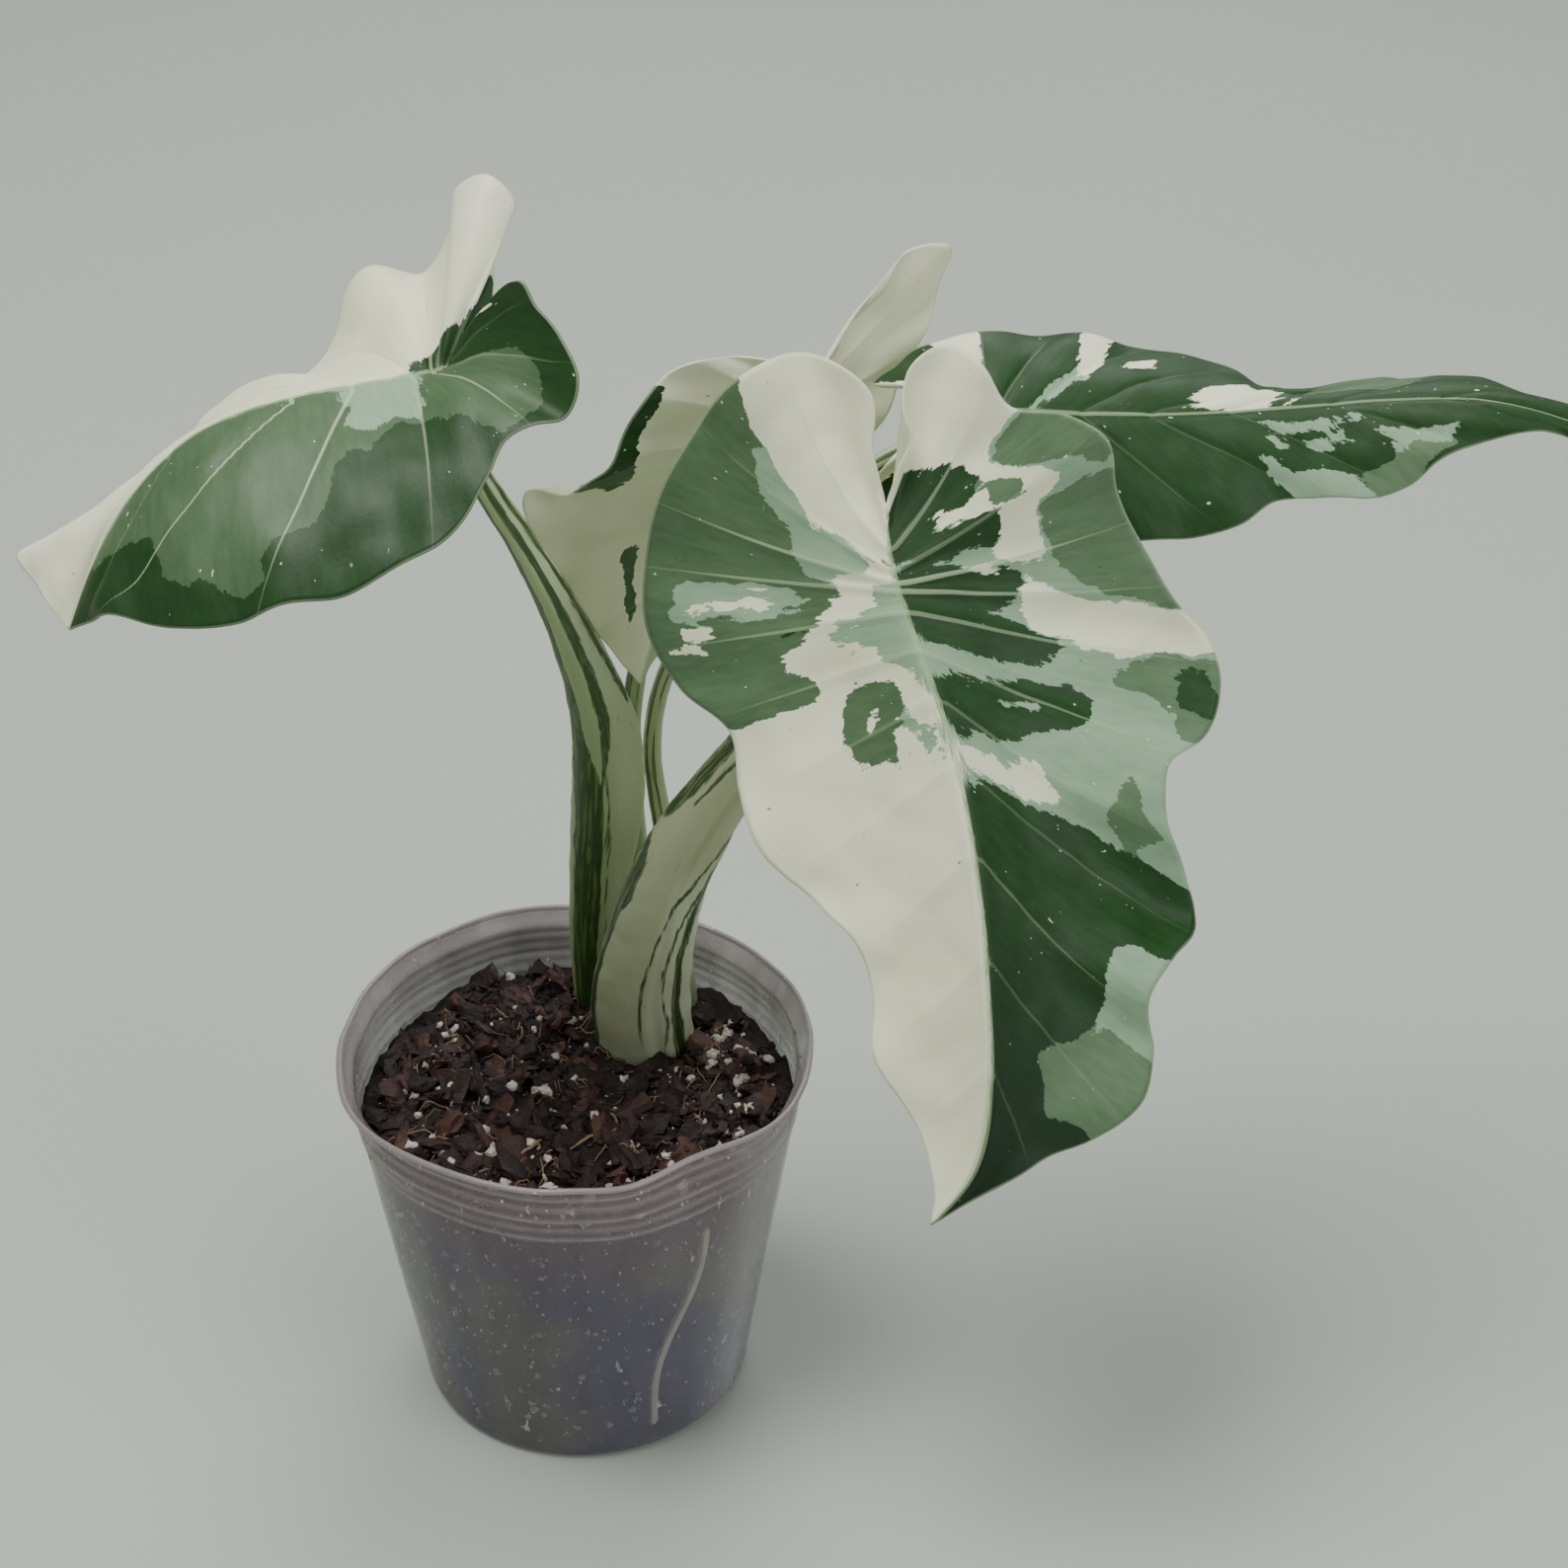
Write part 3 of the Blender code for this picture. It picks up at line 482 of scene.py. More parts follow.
def smooth_run(points):
    """A function that gives the places at shares, 0 to 1, of a smooth curve through the points."""
    places = np.array(points, float)
    gaps = np.linalg.norm(np.diff(places, axis=0), axis=1)
    knots = np.concatenate([[0], np.cumsum(gaps)]) / gaps.sum()
    slopes = np.gradient(places, knots, axis=0)

    def at(share):
        share = np.asarray(share, float)
        left = np.clip(np.searchsorted(knots, share, side="right") - 1, 0, len(gaps) - 1)
        step = (knots[left + 1] - knots[left])[..., None]
        w = (share[..., None] - knots[left][..., None]) / step
        return (
            (2 * w**3 - 3 * w**2 + 1) * places[left]
            + (w**3 - 2 * w**2 + w) * step * slopes[left]
            + (3 * w**2 - 2 * w**3) * places[left + 1]
            + (w**3 - w**2) * step * slopes[left + 1]
        )

    return at


# ---------------------------------------------------------------- materials


class Look:
    """A node material, with short ways to add the nodes that these materials share."""

    def __init__(self, name):
        self.material = bpy.data.materials.new(name)
        self.material.use_nodes = True
        self.nodes = self.material.node_tree.nodes
        self.links = self.material.node_tree.links
        self.shader = self.nodes["Principled BSDF"]

    def set(self, **values):
        for name, value in values.items():
            self.feed(self.shader.inputs[name.replace("_", " ")], value)

    def feed(self, socket, value):
        if isinstance(value, bpy.types.NodeSocket):
            self.links.new(value, socket)
        elif isinstance(value, tuple) and len(value) == 3 and socket.type == "RGBA":
            socket.default_value = (*value, 1)
        else:
            socket.default_value = value

    def math(self, operation, a, b, clamp=False):
        made = self.nodes.new("ShaderNodeMath")
        made.operation = operation
        made.use_clamp = clamp
        self.feed(made.inputs[0], a)
        self.feed(made.inputs[1], b)
        return made.outputs[0]

    def plus(self, a, b, clamp=False):
        return self.math("ADD", a, b, clamp)

    def minus(self, a, b):
        return self.math("SUBTRACT", a, b)

    def times(self, a, b):
        return self.math("MULTIPLY", a, b)

    def inverse(self, value):
        """1 where the value is 0, and 0 where it is 1."""
        return self.math("SUBTRACT", 1.0, value)

    def ramp(self, value, low, high):
        """0 below low, 1 above high, smooth between."""
        made = self.nodes.new("ShaderNodeMapRange")
        made.interpolation_type = "SMOOTHSTEP"
        self.feed(made.inputs["Value"], value)
        made.inputs["From Min"].default_value = low
        made.inputs["From Max"].default_value = high
        return made.outputs["Result"]

    def between(self, value, low, high):
        """Carries 0 to 1 over to low to high."""
        made = self.nodes.new("ShaderNodeMapRange")
        self.feed(made.inputs["Value"], value)
        made.inputs["To Min"].default_value = low
        made.inputs["To Max"].default_value = high
        return made.outputs["Result"]

    def mix(self, share, a, b):
        made = self.nodes.new("ShaderNodeMix")
        made.data_type = "RGBA"
        self.feed(made.inputs[0], share)
        self.feed(made.inputs[6], a)
        self.feed(made.inputs[7], b)
        return made.outputs[2]

    def attribute(self, name, output="Fac"):
        made = self.nodes.new("ShaderNodeAttribute")
        made.attribute_name = name
        return made.outputs[output]

    def place(self):
        return self.nodes.new("ShaderNodeTexCoord").outputs["Object"]

    def stretched(self, vector, scale, shift=(0, 0, 0)):
        made = self.nodes.new("ShaderNodeMapping")
        self.feed(made.inputs["Vector"], vector)
        made.inputs["Scale"].default_value = scale
        made.inputs["Location"].default_value = shift
        return made.outputs[0]

    def noise(self, vector, scale, detail=2.0, roughness=0.55):
        made = self.nodes.new("ShaderNodeTexNoise")
        self.feed(made.inputs["Vector"], vector)
        made.inputs["Scale"].default_value = scale
        made.inputs["Detail"].default_value = detail
        made.inputs["Roughness"].default_value = roughness
        return made.outputs["Fac"]

    def cells(self, vector, scale, feature="F1"):
        made = self.nodes.new("ShaderNodeTexVoronoi")
        made.feature = feature
        self.feed(made.inputs["Vector"], vector)
        made.inputs["Scale"].default_value = scale
        return made.outputs["Distance"]

    def bump(self, height, strength, distance, under=None):
        made = self.nodes.new("ShaderNodeBump")
        made.inputs["Strength"].default_value = strength
        made.inputs["Distance"].default_value = distance
        self.feed(made.inputs["Height"], height)
        if under is not None:
            self.links.new(under, made.inputs["Normal"])
        return made.outputs[0]


def srgb(red, green, blue):
    """A colour named by its screen values, 0 to 255, as the linear values that materials take."""
    shares = (red / 255, green / 255, blue / 255)
    return tuple(c / 12.92 if c <= 0.04045 else ((c + 0.055) / 1.055) ** 2.4 for c in shares)


def leaf_look(name, underside=False):
    """Variegated leaf: cream, pale, green and dark zones with serrated edges, pale veins and flecks."""
    look = Look(name)
    flat = look.attribute("flat", "Vector")
    along_veins = look.stretched(flat, (1.0, 0.5, 1.0))
    coarse = look.minus(look.noise(along_veins, 0.15, 2, 0.5), 0.5)
    fine = look.minus(look.noise(along_veins, 0.75, 3, 0.65), 0.5)
    ragged = look.plus(look.times(coarse, 2.0), look.times(fine, 1.6))

    blotches = look.noise(look.stretched(flat, (1.0, 0.4, 1.0), (40, 7, 3)), 0.33, 2, 0.6)
    break_up = look.times(look.minus(blotches, 0.5), look.attribute("mottle"))
    ragged = look.plus(ragged, look.times(break_up, 3.2))

    def zone(field):
        return look.ramp(look.plus(look.attribute(field), ragged), -0.04, 0.04)

    wash = look.noise(flat, 0.05, 2)
    grain = look.noise(look.stretched(flat, (1.0, 0.25, 1.0), (9, 3, 1)), 0.6, 3)
    cream = look.mix(wash, srgb(243, 244, 218), srgb(224, 227, 192))
    pale = look.mix(grain, srgb(152, 180, 150), srgb(122, 152, 124))
    green = look.mix(grain, srgb(106, 130, 100), srgb(74, 100, 70))
    dark = look.mix(grain, srgb(36, 74, 30), srgb(14, 44, 14))
    dark = look.mix(look.attribute("near_tip"), dark, srgb(5, 38, 9))
    # Painted shade: on some halves the green is mixed towards a darker copy of itself, by the attribute read
    # here.
    green = look.mix(look.attribute("shaded_green"), green, look.mix(grain, srgb(86, 112, 80), srgb(58, 84, 54)))
    colour = look.mix(zone("pale"), cream, pale)
    colour = look.mix(zone("green"), colour, green)
    colour = look.mix(zone("dark"), colour, dark)

    specks = look.noise(look.stretched(flat, (1, 0.6, 1), (5, 60, 2)), 0.7, 1)
    colour = look.mix(look.ramp(specks, 0.775, 0.79), colour, srgb(206, 216, 190))
    spots = look.noise(look.stretched(flat, (1, 0.6, 1), (80, 6, 2)), 0.5, 1)
    colour = look.mix(look.ramp(spots, 0.785, 0.8), colour, srgb(120, 146, 112))

    # The side veins lie where "vein" is a whole number, and "gap" is their distance apart in millimetres.
    off_vein = look.math("PINGPONG", look.attribute("vein"), 0.5)
    from_vein = look.times(off_vein, look.attribute("gap"))
    beyond_vein = look.minus(from_vein, look.between(look.attribute("across"), 0.55, 0.1))
    side_vein = look.inverse(look.ramp(beyond_vein, -0.1, 0.15))
    side_vein = look.times(side_vein, look.attribute("vein_shows"))
    short_of_edge = look.inverse(look.times(look.ramp(look.attribute("across"), 0.6, 0.95), 0.7))
    side_vein = look.times(side_vein, short_of_edge)
    colour = look.mix(look.times(side_vein, 0.6), colour, srgb(190, 206, 172))
    rib = look.inverse(look.ramp(look.attribute("from_midrib"), 0.5, 1.0))
    colour = look.mix(look.times(rib, 0.5), colour, srgb(166, 188, 146))
    margin = look.inverse(look.ramp(look.attribute("from_edge"), 0.3, 0.6))
    colour = look.mix(look.times(margin, 0.3), colour, srgb(188, 200, 170))

    nets = look.cells(flat, 0.55, "DISTANCE_TO_EDGE")
    pores = look.noise(flat, 3.2, 2)
    normal = look.bump(look.ramp(nets, 0.0, 0.3), 0.05, 0.0003)
    normal = look.bump(pores, 0.05, 0.0002, normal)
    if underside:
        colour = look.mix(0.45, colour, srgb(168, 184, 150))
        roughness = look.between(pores, 0.55, 0.7)
    else:
        roughness = look.between(look.noise(flat, 0.12, 3), 0.44, 0.58)
    look.set(Base_Color=colour, Roughness=roughness, Normal=normal)
    look.set(Subsurface_Weight=0.1, Subsurface_Scale=0.003, Subsurface_Radius=(0.5, 0.9, 0.3))
    look.set(Specular_IOR_Level=0.32, Coat_Weight=0.0 if underside else 0.06, Coat_Roughness=0.4)
    return look.material


def petiole_look(name, pale_tone, green_tone, dark_tone):
    """A stalk with fine streaks, and long dark bands where "band" is above 0."""
    look = Look(name)
    skin = look.attribute("skin", "Vector")
    streaks = look.noise(look.stretched(skin, (1.0, 1.0, 0.045)), 1.1, 2, 0.6)
    fine = look.noise(look.stretched(skin, (1.0, 1.0, 0.03), (4, 9, 2)), 3.6, 2)
    tint = look.attribute("tint")
    ground = look.mix(tint, pale_tone, green_tone)
    ground = look.mix(look.times(fine, 0.35), ground, green_tone)
    ragged = look.plus(look.times(fine, 0.8), look.times(streaks, 1.6))
    level = look.plus(look.attribute("band"), look.minus(ragged, 1.2))
    fibrous = look.mix(look.times(look.ramp(streaks, 0.5, 0.66), 0.45), dark_tone, green_tone)
    colour = look.mix(look.ramp(level, -0.15, 0.15), ground, fibrous)
    stray = look.ramp(look.plus(streaks, look.times(fine, 0.3)), 0.86, 0.92)
    colour = look.mix(look.times(stray, 0.5), colour, dark_tone)
    height = look.plus(fine, look.times(streaks, 0.5))
    normal = look.bump(height, 0.25, 0.0004)
    look.set(Base_Color=colour, Roughness=look.between(fine, 0.38, 0.52), Normal=normal)
    look.set(Subsurface_Weight=0.15, Subsurface_Scale=0.004, Subsurface_Radius=(0.7, 0.9, 0.3))
    return look.material


def mix_look(name):
    """Damp shredded bark: near black to maroon and tan, wet in spots, with white crumbs."""
    look = Look(name)
    place = look.place()
    lumps = look.noise(place, 160, 4, 0.65)
    shreds = look.noise(look.stretched(place, (1, 2.2, 1)), 420, 3, 0.6)
    colour = look.mix(lumps, srgb(13, 5, 6), srgb(41, 20, 20))
    colour = look.mix(look.ramp(shreds, 0.56, 0.72), colour, srgb(84, 54, 42))
    colour = look.mix(look.ramp(look.noise(place, 260, 1), 0.74, 0.77), colour, srgb(176, 156, 146))
    height = look.plus(lumps, shreds)
    look.set(Base_Color=colour, Normal=look.bump(height, 0.8, 0.0015))
    look.set(Roughness=look.between(look.noise(place, 90, 2), 0.45, 0.95))
    return look.material


def bark_look(name):
    look = Look(name)
    place = look.place()
    layers = look.noise(look.stretched(place, (1, 1, 3.5)), 300, 4, 0.6)
    wash = look.noise(place, 60, 2)
    tone = look.ramp(look.attribute("tone"), 0.0, 1.0)
    colour = look.mix(wash, srgb(14, 5, 6), srgb(43, 20, 20))
    colour = look.mix(tone, colour, srgb(78, 47, 40))
    colour = look.mix(look.ramp(layers, 0.6, 0.8), colour, srgb(84, 55, 46))
    roughness = look.between(layers, 0.4, 0.9)
    look.set(Base_Color=colour, Roughness=roughness, Normal=look.bump(layers, 0.7, 0.0012))
    return look.material


def perlite_look(name):
    look = Look(name)
    place = look.place()
    pits = look.cells(place, 900)
    stain = look.noise(place, 240, 3)
    colour = look.mix(look.ramp(stain, 0.45, 0.75), srgb(226, 214, 206), srgb(168, 146, 132))
    look.set(Base_Color=colour, Roughness=0.95, Normal=look.bump(pits, 0.8, 0.0008))
    return look.material


def fibre_look(name, light, shade):
    look = Look(name)
    place = look.place()
    colour = look.mix(look.noise(place, 220, 3), light, shade)
    look.set(Base_Color=colour, Roughness=look.between(look.noise(place, 500, 2), 0.6, 0.9))
    look.set(Normal=look.bump(look.noise(place, 900, 2), 0.5, 0.0004))
    return look.material


def pot_look(name):
    """Thin clear plastic, hazed and scuffed, whiter and cloudier at the rim and along the ridges, where it is
    thicker and where a highlight is painted on the bead and the ridge crests.
    """
    look = Look(name)
    place = look.place()
    thick = look.attribute("thick")
    haze = look.noise(place, 38, 3)
    patchy = look.noise(place, 24, 2)
    streaks = look.noise(look.stretched(place, (1, 1, 0.06)), 130, 3, 0.6)
    scuffs = look.noise(look.stretched(place, (1, 1, 0.4)), 420, 3, 0.7)
    marks = look.ramp(scuffs, 0.65, 0.70)
    low = look.mix(look.ramp(patchy, 0.42, 0.62), srgb(122, 118, 120), srgb(110, 104, 126))
    high = look.mix(haze, srgb(144, 123, 128), srgb(122, 106, 112))
    colour = look.mix(look.ramp(look.attribute("raised"), 0.55, 0.95), low, high)
    # Painted highlight, partly real: the rim bead and the ridge crests are painted whiter and more opaque, both
    # as thicker plastic and as a highlight along them.
    pale_parts = look.math("MAXIMUM", thick, look.times(look.attribute("hazed"), 0.5))
    colour = look.mix(look.math("MAXIMUM", pale_parts, marks), colour, srgb(190, 184, 188))
    look.set(Base_Color=colour, Roughness=look.between(look.times(scuffs, haze), 0.15, 0.5))
    cloudy = look.plus(look.between(haze, 0.18, 0.42), look.times(streaks, 0.3))
    cloudy = look.plus(cloudy, look.times(look.attribute("hazed"), 0.22))
    cloudy = look.plus(cloudy, look.times(look.ramp(look.attribute("raised"), 0.84, 0.94), 0.08))
    cloudy = look.plus(cloudy, look.times(thick, 0.35), clamp=True)
    look.set(Alpha=look.plus(cloudy, look.times(marks, 0.3), clamp=True))
    look.set(Normal=look.bump(streaks, 0.3, 0.002, look.bump(scuffs, 0.08, 0.0004)))
    look.set(IOR=1.5, Coat_Weight=0.25, Coat_Roughness=0.15)
    return look.material


def water_look(name):
    look = Look(name)
    place = look.place()
    look.set(Base_Color=look.mix(look.noise(place, 700, 2), srgb(236, 236, 240), srgb(212, 210, 218)))
    look.set(Roughness=0.08, Alpha=0.6, IOR=1.33, Coat_Weight=0.8, Coat_Roughness=0.05)
    return look.material


# ---------------------------------------------------------------- leaves

BLADE = 0.5 * MM
DARK_TIPS = {"front": (0.72, 0.96)}  # where along a blade it starts to darken, and where it is darkest
NO_DARK_TIP = (2, 3)  # both past the tip
# How far each half's green is darkened towards its darker copy, as painted shade.
SHADED_GREENS = {("left", "left"): 1.0, ("front", "left"): 0.7, ("back", "left"): 1.0, ("right", "left"): 1.0}
LEAN = 1.6  # how much the side veins sweep towards the tip
SERRATION = 3.4  # millimetres over which a patch's edge fades, for the noise to cut
QUILTING = 0.6  # how far a blade bulges between its side veins, in millimetres
SMOOTHER_HALVES = {("front", "left"): 0.25}
RUFFLES = 9  # waves along each margin
SWAY = 1.3  # how far the whole blade undulates, in millimetres
UPPER_FACES = (0, -0.84, 0.54)  # the leaves hold their upper surfaces up and to the front


def rooted_at(leaf, side, along):
    """Where on the midrib the side vein starts that reaches each place along the margin."""
    start, reach = leaf["fold"][side]
    beyond = np.clip((along - reach) / (1 - reach), 0, 1)
    return np.where(along < reach, start * along / reach, start + (1 - start) * beyond**LEAN)


def blade_places(leaf, side, along, across):
    """The places of one half of a blade, with its normals and widths: along from the notch to the tip, and
    across from the midrib to the margin."""
    ends = leaf["midrib"][0], leaf["midrib"][-1]
    midrib = smooth_run(leaf["midrib"])
    margin = smooth_run([ends[0], *leaf[side], ends[1]])
    rooted = rooted_at(leaf, side, along)
    root, edge = midrib(rooted), margin(along)
    forward = midrib(np.clip(rooted + 0.02, 0, 1)) - midrib(np.clip(rooted - 0.02, 0, 1))
    normal = np.cross(forward, edge - root) * (1 if side == "left" else -1)
    normal /= np.linalg.norm(normal, axis=-1, keepdims=True) + 1e-9
    width = np.linalg.norm(edge - root, axis=-1)
    arch = leaf["swell"][side] * width[:, None] * np.sin(np.pi * across)[None, :]
    spread = root[:, None] + (edge - root)[:, None] * across[None, :, None]
    return spread + normal[:, None] * arch[..., None], normal, width


def depth_in(outline, rows, columns, scale):
    """How deep each point is inside an outline, in millimetres, and less than 0 outside it."""
    if len(outline) == 2:
        (low, inner), (high, outer) = outline
        outline = [(low, inner), (high, inner), (high, outer), (low, outer)]
    inside = np.zeros(scale.shape[1:], bool)
    nearest = np.full(scale.shape[1:], np.inf)
    for (x1, y1), (x2, y2) in zip(outline, outline[1:] + outline[:1]):
        to_first = np.array(((rows - x1) * scale[0], (columns - y1) * scale[1]))
        edge = np.array(((x2 - x1) * scale[0], (y2 - y1) * scale[1]))
        share = np.clip((to_first * edge).sum(axis=0) / ((edge**2).sum(axis=0) + 1e-9), 0, 1)
        nearest = np.minimum(nearest, np.linalg.norm(to_first - share * edge, axis=0))
        if y1 != y2:
            crosses = (y1 > columns) != (y2 > columns)
            inside ^= crosses & (rows < x1 + (x2 - x1) * (columns - y1) / (y2 - y1))
    return np.where(inside, nearest, -nearest)


def patch_fields(plan, side, along, across, length, width):
    """How far inside the pale, green and dark zones each point is: -1 well outside, 1 well inside."""
    ground = plan["ground"][side]
    fields = [np.full((len(along), len(across)), 1.0 if ground > level else -1.0) for level in range(3)]
    rows, columns = np.meshgrid(along, across, indexing="ij")
    scale = np.array((length * np.clip(columns, 0.25, 1), width[:, None] + 0 * columns))
    for patch_side, tone, outline in plan["patches"]:
        if patch_side == side:
            within = np.clip(0.5 + depth_in(outline, rows, columns, scale) / SERRATION, 0, 1)
            for level in range(3):
                fields[level] += (np.sign(tone - level - 0.5) - fields[level]) * within
    return fields


def vein_numbers(veins, along, across):
    """A count that is whole on each side vein, and how clearly the nearest vein shows."""
    roots = np.array([0, *(root for root, _, _ in veins), 1])
    tips = np.array([0, *(tip for _, tip, _ in veins), 1])
    clear = np.array([0, *(shows for _, _, shows in veins), 0])
    numbers = np.zeros((len(along), len(across)))
    for column, share in enumerate(across):
        here = roots + (tips - roots) * share**0.8
        numbers[:, column] = np.interp(along, here, np.arange(len(here)))
    return numbers, clear[np.round(numbers).astype(int)]


def mottle_field(plan, side, along, across):
    """How far the zones break up into small blotches at each point, from 0 to 1."""
    mottle = np.zeros((len(along), len(across)))
    for patch_side, low, high, inner, outer in plan["mottled"]:
        if patch_side == side:
            lengthways = step_up(along, low - 0.02, low + 0.02) * step_up(high - along, -0.02, 0.02)
            crossways = step_up(across, inner - 0.1, inner + 0.1) * step_up(outer - across, -0.1, 0.1)
            mottle = np.maximum(mottle, lengthways[:, None] * crossways[None, :])
    return mottle


def half_blade(name, side, along, across):
    """The places of one half of a blade, and what its materials read at each of them, by name."""
    leaf, plan = LEAVES[name], PATCHES[name]
    places, normal, width = blade_places(leaf, side, along, across)
    margin = smooth_run(leaf[side])(np.linspace(0, 1, 200))
    length = np.linalg.norm(np.diff(margin, axis=0), axis=1).sum()
    numbers, shows = vein_numbers(VEINS[name], along, across)
    spread = across[None, :] * width[:, None]
    rows_apart = np.linalg.norm(np.gradient(places, axis=0), axis=-1)
    gap_mm = np.clip(rows_apart / np.maximum(np.gradient(numbers, axis=0), 1e-4), 0, 60)
    off_vein = np.abs(numbers - np.round(numbers)) * gap_mm
    fade = (step_up(along, 0.0, 0.06) * step_up(1 - along, 0.0, 0.08))[:, None]  # 0 at the notch and tip

    bulge = SMOOTHER_HALVES.get((name, side), QUILTING)
    quilting = bulge * np.sin(np.pi * np.abs(numbers - np.floor(numbers))) ** 0.8
    quilting *= (np.sin(np.pi * across) ** 0.7)[None, :] * fade
    groove = -0.45 * np.exp(-((off_vein / 1.1) ** 2)) * (1 - across[None, :]) * fade
    groove += -0.9 * np.exp(-((spread / 1.6) ** 2)) * fade
    sway = bumpiness(places.reshape(-1, 3), 0.03, 3 + len(name)).reshape(spread.shape)
    waves = np.sin(along * math.tau * RUFFLES + (0 if side == "left" else 1.7))[:, None]
    ruffle = 0.9 * waves * step_up(across, 0.55, 1.0)[None, :] * fade
    relief = quilting + groove + ruffle + SWAY * sway * step_up(spread, 0, 14)

    dark_from, darkest = DARK_TIPS.get(name, NO_DARK_TIP)
    lengthways = np.broadcast_to((along * length)[:, None], spread.shape)
    pattern_shift = np.full_like(spread, 50.0 if side == "left" else 150.0)
    fields = {
        "places": places + normal[:, None] * relief[..., None],
        "vein": numbers,
        "gap": gap_mm,
        "from_midrib": spread,
        "from_edge": (1 - across[None, :]) * width[:, None],
        "across": np.broadcast_to(across, spread.shape),
        "shaded_green": np.full_like(spread, SHADED_GREENS.get((name, side), 0.0)),
        "near_tip": np.broadcast_to(step_up(along, dark_from, darkest)[:, None], spread.shape),
        "flat": np.stack([lengthways, spread, pattern_shift], axis=-1),
    }
    fields.update(zip(("pale", "green", "dark"), patch_fields(plan, side, along, across, length, width)))
    fields["mottle"] = mottle_field(plan, side, along, across)
    fields["vein_shows"] = shows
    return fields


def middle_column(leaf, left, right, along):
    """What lies on the midrib itself, between the two halves' innermost columns."""
    middle = {key: (left[key][:, :1] + right[key][:, :1]) / 2 for key in left}
    midrib = smooth_run(leaf["midrib"])(rooted_at(leaf, "left", along))
    dip = middle["places"][:, 0] - midrib
    middle["places"] = (midrib + 0.4 * dip)[:, None]
    middle["from_midrib"] = np.zeros_like(middle["from_midrib"])
    middle["flat"][..., 1] = 0
    return middle


def sheet_faces(points, high, wide):
    """Faces of a sheet of rows of points that runs into one point at each end, with its upper side out."""
    index = np.arange(high * wide).reshape(high, wide)
    quads = np.stack([index[:-1, :-1], index[:-1, 1:], index[1:, 1:], index[1:, :-1]], axis=-1)
    quads = quads.reshape(-1, 4)
    faces = [tuple(int(i) for i in q) for q in quads]
    first, last = high * wide, high * wide + 1
    faces += [(first, int(index[0, a + 1]), int(index[0, a])) for a in range(wide - 1)]
    faces += [(last, int(index[-1, a]), int(index[-1, a + 1])) for a in range(wide - 1)]
    corners = points[quads]
    outlook = np.cross(corners[:, 2] - corners[:, 0], corners[:, 3] - corners[:, 1]).sum(axis=0)
    return [face[::-1] for face in faces] if outlook @ UPPER_FACES < 0 else faces


def build_leaf(name, looks, rows=190, columns=34):
    """A blade as one fine sheet, from the left margin through the midrib to the right margin."""
    leaf = LEAVES[name]
    along = np.linspace(0, 1, rows + 1)[1:-1]
    across = np.linspace(0, 1, columns + 1)[1:] ** 0.9
    left, right = (half_blade(name, side, along, across) for side in ("left", "right"))
    middle = middle_column(leaf, left, right, along)

    def whole(key):
        rows_of = np.concatenate([left[key][:, ::-1], middle[key], right[key]], axis=1)
        return rows_of.reshape(-1, *rows_of.shape[2:])

    ends = leaf["midrib"][0], leaf["midrib"][-1]
    points = np.concatenate([whole("places"), ends]) * MM + CROWN
    mesh = mesh_of(f"leaf_{name}", points, sheet_faces(points, len(along), 2 * len(across) + 1))
    for key in left:
        if key != "places":
            values = whole(key)
            store(mesh, key, np.concatenate([values, values[:1], values[-1:]]))
    made = link(f"leaf_{name}", mesh, *looks)
    thick = made.modifiers.new("Blade", "SOLIDIFY")
    thick.thickness = BLADE
    thick.offset = 0
    thick.material_offset = 1
    thick.material_offset_rim = 0
    stands_for(made, f"blade_{name}")


# ---------------------------------------------------------------- petioles


UNEVEN = 0.035  # how far a stalk's surface wanders, as a share of its radius


def band_depths(name, share, lateral, half_width):
    """How deep each place is inside the nearest dark band, in millimetres, and less than 0 outside them."""
    deepest = np.full((len(share), len(lateral)), -9.0)
    for band in BANDS[name]:
        at, middle, half = zip(*band)
        low = np.interp(share, at, middle)[:, None]
        wide = np.interp(share, at, half)[:, None]
        past_end = np.clip(np.maximum(at[0] - share, share - at[-1]), 0, 1)[:, None]
        depth = (wide - np.abs(lateral[None, :] - low)) * half_width[:, None] - 60 * past_end
        deepest = np.maximum(deepest, depth)
    return deepest


